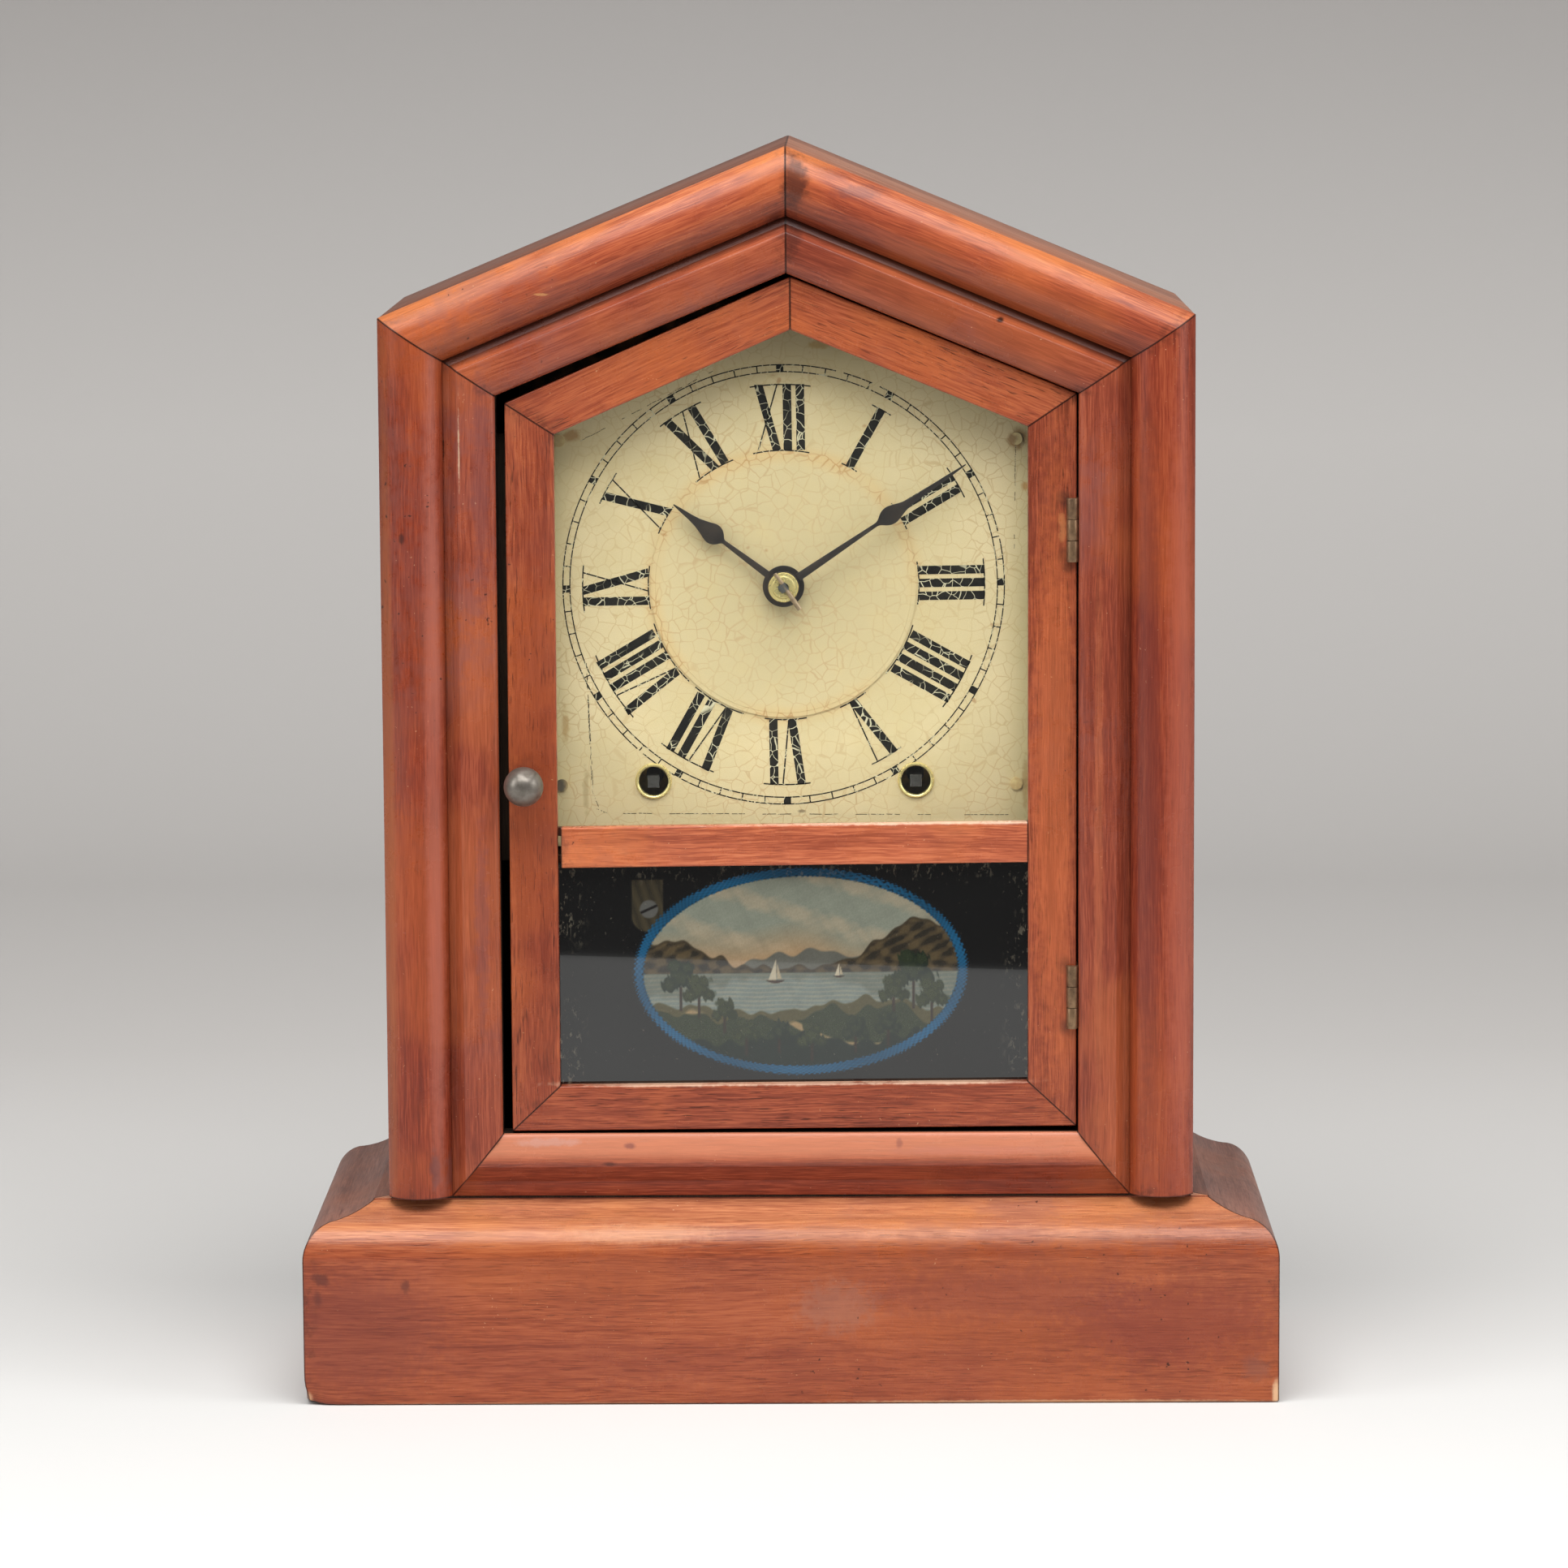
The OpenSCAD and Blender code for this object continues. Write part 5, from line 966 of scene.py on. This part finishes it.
def paint_colours(x, z):
    """The painting on the lower glass, worked out for arrays of places about the oval's middle: a sky that
    lightens to the horizon, hills as bell curves and sums of sines, a lake with two boats, and a shore with
    trees whose crowns are groups of discs."""
    r = np.random.default_rng(5)

    def waves(u, n, low, high, size):
        """A sum of n sines of random pitch and start; the finer, the lower."""
        out = np.zeros_like(u)
        for _ in range(n):
            f = r.uniform(low, high)
            out = out + sin(u * f + r.uniform(0, 6.3)) * size * low / f
        return out

    blot = waves(x * 1.7 + z, 4, 0.3, 1.6, 0.5) + waves(z * 2.3 - x, 4, 0.3, 1.8, 0.5)
    col = np.zeros(x.shape + (3,)) + np.array([192, 160, 120]) / 255
    lay(col, soft(z - 8 - waves(x, 3, 0.08, 0.25, 3), 9) * 0.75, (142, 160, 150))
    lay(col, soft(sin(x * 0.16 + z * 0.5) + 0.4 * blot - 0.5, 1.0) * soft(z - 6, 4) * 0.5, (206, 184, 150))
    far = 3.5 + 2.2 * sin(x * 0.11 + 1.2) + waves(x, 4, 0.3, 0.9, 0.7)
    lay(col, soft(far - z, 0.5), (112, 112, 102))
    near = 1.0 + 13.5 * exp(-((x - 33) / 15) ** 2) + 8.0 * exp(-((x + 36) / 13) ** 2) + waves(x, 4, 0.4, 1.4, 0.8)
    lay(col, soft(near - z, 0.4), (74, 64, 48))
    ridge = sin(x * 0.9 + 2.5 * sin(z * 0.35) + blot) * sin(z * 1.3 - x * 0.35)
    lay(col, soft(near - z - 0.6, 0.8) * soft(ridge - 0.15, 0.6) * 0.6, (116, 98, 66))
    lay(col, soft(near - z - 0.8, 0.8) * soft(-ridge - 0.35, 0.6) * 0.7, (40, 38, 32))
    water = soft(-0.4 - z, 0.3)
    lay(col, water, (134, 146, 138))
    lay(col, water * soft(sin(z * 5.2 + 0.7 * sin(x * 0.4)) - 0.45, 0.4) * 0.6, (172, 170, 148))
    lay(col, water * soft(0.9 + near * 0.55 + z * 0.8, 1.4) * 0.35, (84, 86, 68))
    for bx, bz, s in ((-7.0, -2.4, 1.0), (10.5, -1.3, 0.62)):
        u, v = (x - bx) / s, (z - bz) / s
        sail = np.minimum(np.minimum(u + 1.9 - 0.36 * v, 0.25 - u), np.minimum(v, 5.6 - v))
        jib = np.minimum(np.minimum(u - 0.45, 1.9 - u - 0.30 * v), np.minimum(v - 0.3, 4.6 - v))
        hull = np.minimum(np.minimum(-v, v + 0.9 - 0.12 * u * u), 2.6 - np.abs(u))
        lay(col, soft(sail, 0.25), (214, 202, 172))
        lay(col, soft(jib, 0.25), (196, 180, 146))
        lay(col, soft(hull, 0.25), (66, 48, 38))
    shore = -9.2 + 2.1 * sin(x * 0.10 - 0.7) - 0.0016 * x * x + waves(x, 4, 0.4, 1.5, 0.7)
    lay(col, soft(shore - z, 0.4), (92, 86, 54))
    bank = shore - 2.2 + waves(x, 3, 0.3, 1.0, 0.8)
    lay(col, soft(bank - z, 0.5), (52, 62, 40))
    path = np.abs(z + 16.5 + 0.22 * (x - 4) + 2.4 * sin(x * 0.13)) - 1.0 + 0.2 * blot
    lay(col, soft(-path, 0.6) * soft(bank - z, 1), (176, 148, 104))
    front = -18.5 + 1.6 * sin(x * 0.17 + 2) + waves(x, 3, 0.5, 1.4, 0.8)
    lay(col, soft(front - z, 0.6), (24, 38, 30))
    for tx, tz, s, tone in ((-33, -4, 5.2, 0), (-28, -7, 4.4, 1), (31, -3, 6.0, 0), (25.5, -7.5, 4.2, 1),
                            (-21, -12.5, 3.6, 1), (36, -9, 4.6, 1), (-6, -18.5, 3.4, 0), (3, -20, 4.0, 1),
                            (15, -18, 3.8, 0), (-15, -18.5, 3.8, 1), (24, -16.5, 3.6, 0)):
        u, v = x - tx, z - tz
        trunk = np.minimum(0.35 - np.abs(u), np.minimum(-v, v + s * 1.3))
        lay(col, soft(trunk, 0.3), (52, 38, 28))
        for dx, dz, q in ((0, 0.55, 1.0), (-0.6, 0.1, 0.7), (0.62, 0.15, 0.66), (-0.3, 1.1, 0.62), (0.35, 1.0, 0.6)):
            d = s * q * 0.62 - np.hypot(u - dx * s, (v - dz * s) * 1.1) + 0.35 * waves(u * 3 + v, 3, 0.8, 2.4, 1)
            lay(col, soft(d, 0.5), (44, 54, 34) if tone else (26, 40, 30))
            lay(col, soft(d - 0.9 + 0.45 * (v - u) / s, 0.8) * 0.40, (84, 90, 54))
    col = col * (0.93 + 0.05 * blot[..., None] / 2)
    grain = r.normal(0, 0.012, x.shape)[..., None]
    return np.clip(col + grain, 0, 1)


def tablet():
    """The lower pane: a grid on its front, fine about the oval, carries the painting, and a plain rim and back
    close it. The ring lies between two ellipses whose edges are broken by sines and by bristle marks."""
    cx, cz, half_w, half_h, mean = 3.0, 117.0, 45.2, 28.4, 36
    hold, fine_x, fine_z = 2.7, 48, 31
    x0, x1 = DOOR_IN[0][0] - hold, DOOR_IN[1][0] + hold
    z0, z1 = DOOR_IN[0][1] - hold, MIDDLE_Z + hold
    xs = np.concatenate([np.linspace(x0, cx - fine_x, 14)[:-1], np.linspace(cx - fine_x, cx + fine_x, 400),
                         np.linspace(cx + fine_x, x1, 14)[1:]])
    zs = np.concatenate([np.linspace(z0, cz - fine_z, 4)[:-1], np.linspace(cz - fine_z, min(cz + fine_z, z1), 215)])
    gx, gz = np.meshgrid(xs, zs)
    u, v = gx - cx, gz - cz
    r = np.random.default_rng(9)
    ang = np.arctan2(v / half_h, u / half_w)
    rad = np.hypot(u / half_w, v / half_h)
    jit = sum(sin(ang * k + r.uniform(0, 6.3)) * 0.14 / np.sqrt(k) for k in (2, 5, 9, 17, 31, 47, 71, 113, 151))
    bristle = sin(ang * 160 + 4 * sin(ang * 13)) * sin(rad * 210 + ang * 9)
    outer = (1.012 + 0.018 * jit - rad) * mean
    inner = (rad - 0.945 - 0.014 * sin(ang * 2 + 1.0) + 0.014 * jit) * mean
    ring = soft(outer + 0.5 * bristle, 0.5) * soft(inner + 0.3 * bristle, 0.4)
    worn = exp(-((ang - 1.05) / 0.33) ** 2) * np.clip(sin(ang * 74) * sin(rad * 160 + 5) * 3 - 1.2, 0, 1)
    col = np.zeros(gx.shape + (3,)) + 13 / 255
    blue = np.array([24, 80, 114]) * (0.85 + 0.13 * bristle + 0.08 * sin(ang * 7))[..., None]
    # The movement's brass foot and its screw, seen through the worn paint, are drawn in dim tones as painted shade,
    # for the dark inside of the case.
    foot = np.minimum(4.3 - np.hypot(gx + 39.0, np.maximum(132.8 - gz, 0)), 143.0 - gz)
    foot = soft(foot, 0.4) * (0.85 + 0.15 * sin(gx * 2.1 + gz * 0.7))
    sx, sz = gx + 38.6, gz - 134.8
    screw = soft(2.5 - np.hypot(sx, sz), 0.3)
    slot = soft(0.35 - np.abs(0.4 * sx - 0.9 * sz), 0.3) * screw
    for mask, tone in ((foot, (58, 52, 38)), (screw, (78, 78, 74)), (slot, (22, 21, 20)),
                       (soft(-inner, 0.3), paint_colours(u, v) * 0.80 * 255), (ring * (1 - worn), blue)):
        lay(col, mask, tone)
    n, m = gx.shape
    y0, y1 = DOOR_BACK - LIP, DOOR_BACK - LIP + PANE_T
    flat = sunk(np.stack([gx, gz], -1))
    front = np.stack([flat[..., 0], np.full(gx.shape, y0), flat[..., 1]], -1).reshape(-1, 3)
    rim = np.concatenate([np.arange(m), np.arange(1, n) * m + m - 1, (n - 1) * m + np.arange(m - 2, -1, -1),
                          np.arange(n - 2, 0, -1) * m])
    back = front[rim] + [0, y1 - y0, 0]
    k = len(front)
    faces = grid_faces(n, m)
    j = np.arange(len(rim))
    side = np.stack([rim, np.roll(rim, -1), k + np.roll(j, -1), k + j], 1).tolist()
    faces += side + [list(range(k, k + len(rim)))]
    lin = linear(col).reshape(-1, 3)
    paint = np.concatenate([lin, lin[rim]])
    return finish_mesh("tablet_painted", np.concatenate([front, back]), faces, marks={"paint": paint})


add("tablet_painted", tablet(), "door", "tablet_glass", TABLET, "tablet_glass")

# Dial


def dial_figures():
    """Roman numerals and the minute track as thin flat forms: thick and thin strokes in a frame that turns
    with the hour, its foot towards the centre, and arcs for the serifs."""
    polys = []

    def put(poly, a):
        """Turns an outline clockwise about the hands' centre, by degrees."""
        q = np.asarray(poly, float)
        c, s = cos(radians(a)), sin(radians(a))
        polys.append(np.stack([HAND[0] + q[:, 0] * c + q[:, 1] * s, HAND[1] - q[:, 0] * s + q[:, 1] * c], 1))

    r0, r1, track0, track1 = 37.1, 55.1, 58.6, 60.5
    thick, thin, lean = 2.35, 0.40, -0.7

    def stroke(xa, xb, w):
        """A bar of one width from the outer end (xa) to the inner end (xb)."""
        return [[xa - w / 2, r1], [xa + w / 2, r1], [xb + w / 2, r0], [xb - w / 2, r0]]

    def arc_bar(x0, x1, r, w):
        """A thin serif that follows a circle from x0 to x1, measured along it."""
        t = radians(np.linspace(np.degrees(x0 / r), np.degrees(x1 / r), 8))
        return [[q * sin(u), q * cos(u)] for q, way in ((r + w / 2, 1), (r - w / 2, -1)) for u in t[::way]]

    glyphs = {"I": (3.55, [(0, 0, thick)]), "V": (7.0, [(-2.3, 0.1, thick), (2.9, 1.0, thin)]),
              "X": (7.2, [(-2.4, 2.4, thick), (2.7, -2.7, thin)])}
    for hour, text in enumerate(("XII", "I", "II", "III", "IIII", "V", "VI", "VII", "VIII", "IX", "X", "XI")):
        total = sum(glyphs[c][0] for c in text)
        x, turn = -total / 2, 30 * hour + lean
        for c in text:
            width, strokes = glyphs[c]
            for top, foot, w in strokes:
                put(stroke(x + width / 2 + top, x + width / 2 + foot, w), turn)
            x += width
        put(arc_bar(-total / 2 - 1.2, total / 2 + 1.2, r1, 0.36), turn)
        put(arc_bar(-total / 2 - 0.6, total / 2 + 0.6, r0, 0.36), turn)
    for r in (track1, track0):
        t = radians(np.linspace(0, 360, 181))
        for k in range(180):
            if rng.random() < 0.02:
                continue
            a, b = t[k], t[k + 1]
            polys.append([[HAND[0] + q * cos(w), HAND[1] + q * sin(w)]
                          for q, w in ((r + 0.16, a), (r + 0.16, b), (r - 0.16, b), (r - 0.16, a))])
    for k in range(60):
        w = 2.0 if k % 5 == 0 else 0.34
        put([[-w / 2, track0], [w / 2, track0], [w / 2, track1], [-w / 2, track1]], 6 * k + lean)
    scratches = ((-50, 159.2, 61, 158.4), (-55.5, 201, -54.2, 164), (-53, 160.5, -50, 159.2), (62.0, 232, 62.4, 266),
                 (-56.5, 262, -20, 281), (10, 290, 40, 277), (-55.4, 200, -54.0, 166), (-54.4, 166, -52.5, 161))
    n = 26
    for x0, z0, x1, z1 in scratches:
        for k in range(n):
            if rng.random() < 0.35:
                continue
            p = np.array([x0, z0]) + (np.array([x1, z1]) - [x0, z0]) * np.array([[k], [k + 0.85]]) / n
            p = p + rng.normal(0, 0.05, (2, 2))
            d = (p[1] - p[0]) / np.linalg.norm(p[1] - p[0])
            nn = np.array([-d[1], d[0]]) * 0.08
            polys.append([p[0] + nn, p[0] - nn, p[1] - nn, p[1] + nn])
    return plates("dial_figures", polys, DIAL_Y - 0.03, 0.05)


add("dial_figures", dial_figures(), "case", "dial_paint", INK)
dress("dial", DIAL)


def ring_bead():
    """A low rounded step where the raised centre meets the dial: half an oval, a little skewed."""
    r, half, high = 36.0, 0.9, 0.17
    t = radians(np.linspace(0, 180, 7))
    prof = [[r - half * cos(a), -high + high * cos(a + 0.5 * sin(a) + pi) - 0.01] for a in t]
    prof = prof[::-1] + [[r - half, 0.02], [r + half, 0.02]]
    prof.append(prof[0])
    return lathe("dial_bead", prof, (HAND[0], DIAL_Y, HAND[1]), steps=160)


add("dial_bead", ring_bead(), "case", "dial_paint", DIAL)

for k, sx in enumerate((-1, 1)):
    c = (HAND[0] + sx * WIND_X, DIAL_Y, HAND[1] - WIND_Z)
    prof = [[4.0, 1.6], [4.0, -0.25], [4.1, -0.5], [4.35, -0.66], [4.7, -0.6], [4.95, -0.3], [5.0, 0.0], [4.3, 0.0],
            [4.3, 1.6], [4.0, 1.6]]
    add("eyelet_%d" % k, lathe("eyelet_%d" % k, prof, c), "case", "eyelet_brass", EYELET, "dial_eyelets")

# Hands


def hand(name, body, y, at, half_widths, hub, hole, length):
    """A hand filed from sheet: its half widths along the length are joined by a smooth curve, and the face is
    crowned a little towards the middle line. Its ring is returned as a mesh of its own."""
    r, w = np.array(half_widths).T * [[length], [1]]
    rr = np.linspace(r[0], r[-1], 160)
    ww = np.interp(rr, r, w)
    ww[2:-2] = np.convolve(ww, np.ones(5) / 5, "valid")
    across = np.array([-1, -0.8, -0.4, 0, 0.4, 0.8, 1])
    crown = 0.14 * (1 - across ** 2)
    x = ww[:, None] * across[None, :]
    zz = np.broadcast_to(rr[:, None], x.shape)
    y_front = y + 0.10 - crown * np.clip(ww, 0, 1)[:, None]
    y_back = np.full(x.shape, y + 0.6)
    a = radians(at)

    def spin(px, pz):
        """From the hand's own plane to its place over the dial."""
        return HAND[0] + px * cos(a) + pz * sin(a), HAND[1] - px * sin(a) + pz * cos(a)

    fx, fz = spin(x, zz)
    loop = np.concatenate([np.stack([fx, y_front, fz], -1), np.stack([fx, y_back, fz], -1)[:, ::-1]], 1)
    me = finish_mesh(name, loop.reshape(-1, 3), tube_faces(*loop.shape[:2]), sharp=50)
    add(name, me, body, "hand_steel", HANDS)
    prof = [[hole, y], [hole + 0.1, y - 0.04], [hub - 0.4, y - 0.04], [hub - 0.1, y + 0.02], [hub, y + 0.15],
            [hub, y + 0.6], [hole, y + 0.6], [hole, y]]
    return lathe(name + "_ring", prof, (HAND[0], 0, HAND[1]))


HOUR_SHAPE = [(0.12, 1.0), (0.30, 0.85), (0.50, 0.62), (0.552, 0.55), (0.57, 1.5), (0.595, 2.35), (0.625, 2.8),
              (0.65, 2.85), (0.68, 2.55), (0.72, 1.95), (0.78, 1.25), (0.85, 0.8), (0.93, 0.5), (1.0, 0.15)]
MINUTE_SHAPE = [(0.08, 1.1), (0.25, 0.9), (0.45, 0.6), (0.522, 0.5), (0.535, 1.2), (0.555, 2.1), (0.58, 2.55),
                (0.60, 2.5), (0.63, 1.9), (0.66, 1.3), (0.70, 0.9), (0.78, 0.72), (0.90, 0.5), (1.0, 0.15)]
me = hand("hour_blade", "hour", HOUR_Y, -53.0, HOUR_SHAPE, 5.7, 2.95, 37.5)
add("hour_ring", me, "hour", "hand_steel", HANDS, "hour_hand")
me = hand("minute_blade", "minute", MINUTE_Y, 56.2, MINUTE_SHAPE, 4.4, 1.6, 60.0)
add("minute_ring", me, "minute", "hand_steel", HANDS, "minute_hand")
prof = [[1.45, 0.0], [4.0, 0.0], [4.1, -0.15], [3.9, -0.45], [3.2, -0.55], [2.9, -0.85], [2.2, -0.92], [1.45, -0.92],
        [1.45, 0.0]]
add("collet_dome", lathe("collet_dome", prof, (HAND[0], MINUTE_Y, HAND[1])), "minute", "eyelet_brass", EYELET,
    "hand_collet")


def taper_pin():
    """A slim cone through the arbor, a little bent at its thin end."""
    a = radians(-56.0)
    u = np.linspace(-5.2, 6.9, 24)
    bend = 0.25 * (u / 6.0) ** 2 * (u < 0)
    mid = np.stack([HAND[0] + 0.6 + u * cos(a), MINUTE_Y - 1.45 + 0 * u,
                    HAND[1] - 0.2 + u * sin(a) - bend], 1)
    r = 0.46 + 0.022 * (u + 6)
    t = np.linspace(0, 2 * pi, 12, endpoint=False)
    side = np.array([-sin(a), 0, cos(a)])
    ring = cos(t)[:, None] * side + sin(t)[:, None] * np.array([0, 1, 0])
    p = mid[:, None] + r[:, None, None] * ring
    return finish_mesh("taper_pin", p.reshape(-1, 3), tube_faces(*p.shape[:2]))


add("taper_pin", taper_pin(), "minute", "eyelet_brass", PIN)

# Knob and hinges


def knob_profile():
    """A ball, which is an arc of 150 degrees, on a waisted foot with its spindle."""
    r, y = 5.4, -8.6
    ball = [[r * sin(a), y - r * cos(a)] for a in radians(np.linspace(0, 150, 26))]
    foot = [[2.2, -3.0], [2.3, -1.6], [3.3, -1.1], [3.35, 0.0], [1.5, 0.0], [1.5, 9.6], [0.0, 9.6]]
    return [[0.0, ball[0][1]]] + ball[1:] + foot


def dented(me):
    """A small dent on top of the knob: points in front sink by a bell curve about (-70.5, 173.8)."""
    pos = np.empty(len(me.vertices) * 3)
    me.vertices.foreach_get("co", pos)
    x, y, z = pos.reshape(-1, 3).T
    z -= 0.00045 * exp(-(((x + 0.0705) / 0.0012) ** 2 + ((z - 0.1738) / 0.0010) ** 2)) * (y < -0.0495)
    me.vertices.foreach_set("co", pos)
    return me


ball = dented(lathe("knob_ball", knob_profile(), (KNOB[0], DOOR_Y, KNOB[1]), steps=72))
add("knob_ball", ball, "knob", "knob_metal", KNOB_METAL, "door_knob")
catch = plates("knob_catch", [arc_points(KNOB[0], KNOB[1], 2.8, 0, 360, 33)[:-1],
                              [[KNOB[0] - 2, KNOB[1] - 10.6], [KNOB[0] + 2, KNOB[1] - 10.6], [KNOB[0] + 2, KNOB[1]],
                               [KNOB[0] - 2, KNOB[1]]]], DOOR_BACK + 0.1, 1.0)
add("knob_catch", catch, "knob", "knob_metal", KNOB_METAL)

for node, body in (("hinge_case_leaves", "case"), ("hinge_door_leaves", "door")):
    add(node + "_brass", merged(node, 0.08), body, "hinge_brass", HINGE, node)

# Movement, seen with the door open


def brad_paint():
    """The brads were painted over with the dial, except one that is bare and dark; the screws are steel."""
    mat, t, sh = material("brad_paint", Roughness=0.5)
    v = t.place()
    tarnish = use(t, TARNISH, Vector=v)["Tarnish"]
    steel = t.coats(srgb(140, 138, 134), (tarnish, (92, 84, 76)))
    paint = t.coats(srgb(214, 192, 138), (tarnish * 0.5, (172, 128, 74)))
    base = t.mix(t.math("LESS_THAN", t.xyz(v)[1], -0.0265), steel, paint)
    base = spotted(t, base, v, ((-63.7, 167.1, 4, 4, (70, 62, 54), 0.95, 0.6),
                                (61.3, 262.1, 2.2, 2.2, (132, 84, 46), 0.7, 1.6)))
    t.wire(sh, Base_Color=base)
    return mat


NODE_MATS = {
    "plate_front": BRASS, "plate_back": BRASS, "escape_bridge": BRASS, "mainsprings": BLUED, "gong": JAPAN,
    "winding_arbor_time": ARBOR, "winding_arbor_strike": ARBOR, "verge": STEEL, "centre_arbor": STEEL,
    "strike_hammer": STEEL, "screws": brad_paint(), "pendulum": BRASS}
for node, mat in NODE_MATS.items():
    dress(node, mat)
for node in ("great_wheel_time", "great_wheel_strike", "centre_wheel", "second_wheel", "third_wheel", "escape_wheel",
             "minute_wheel", "hour_wheel", "strike_pin_wheel", "strike_third_wheel", "strike_fly"):
    dress(node, WHEEL)
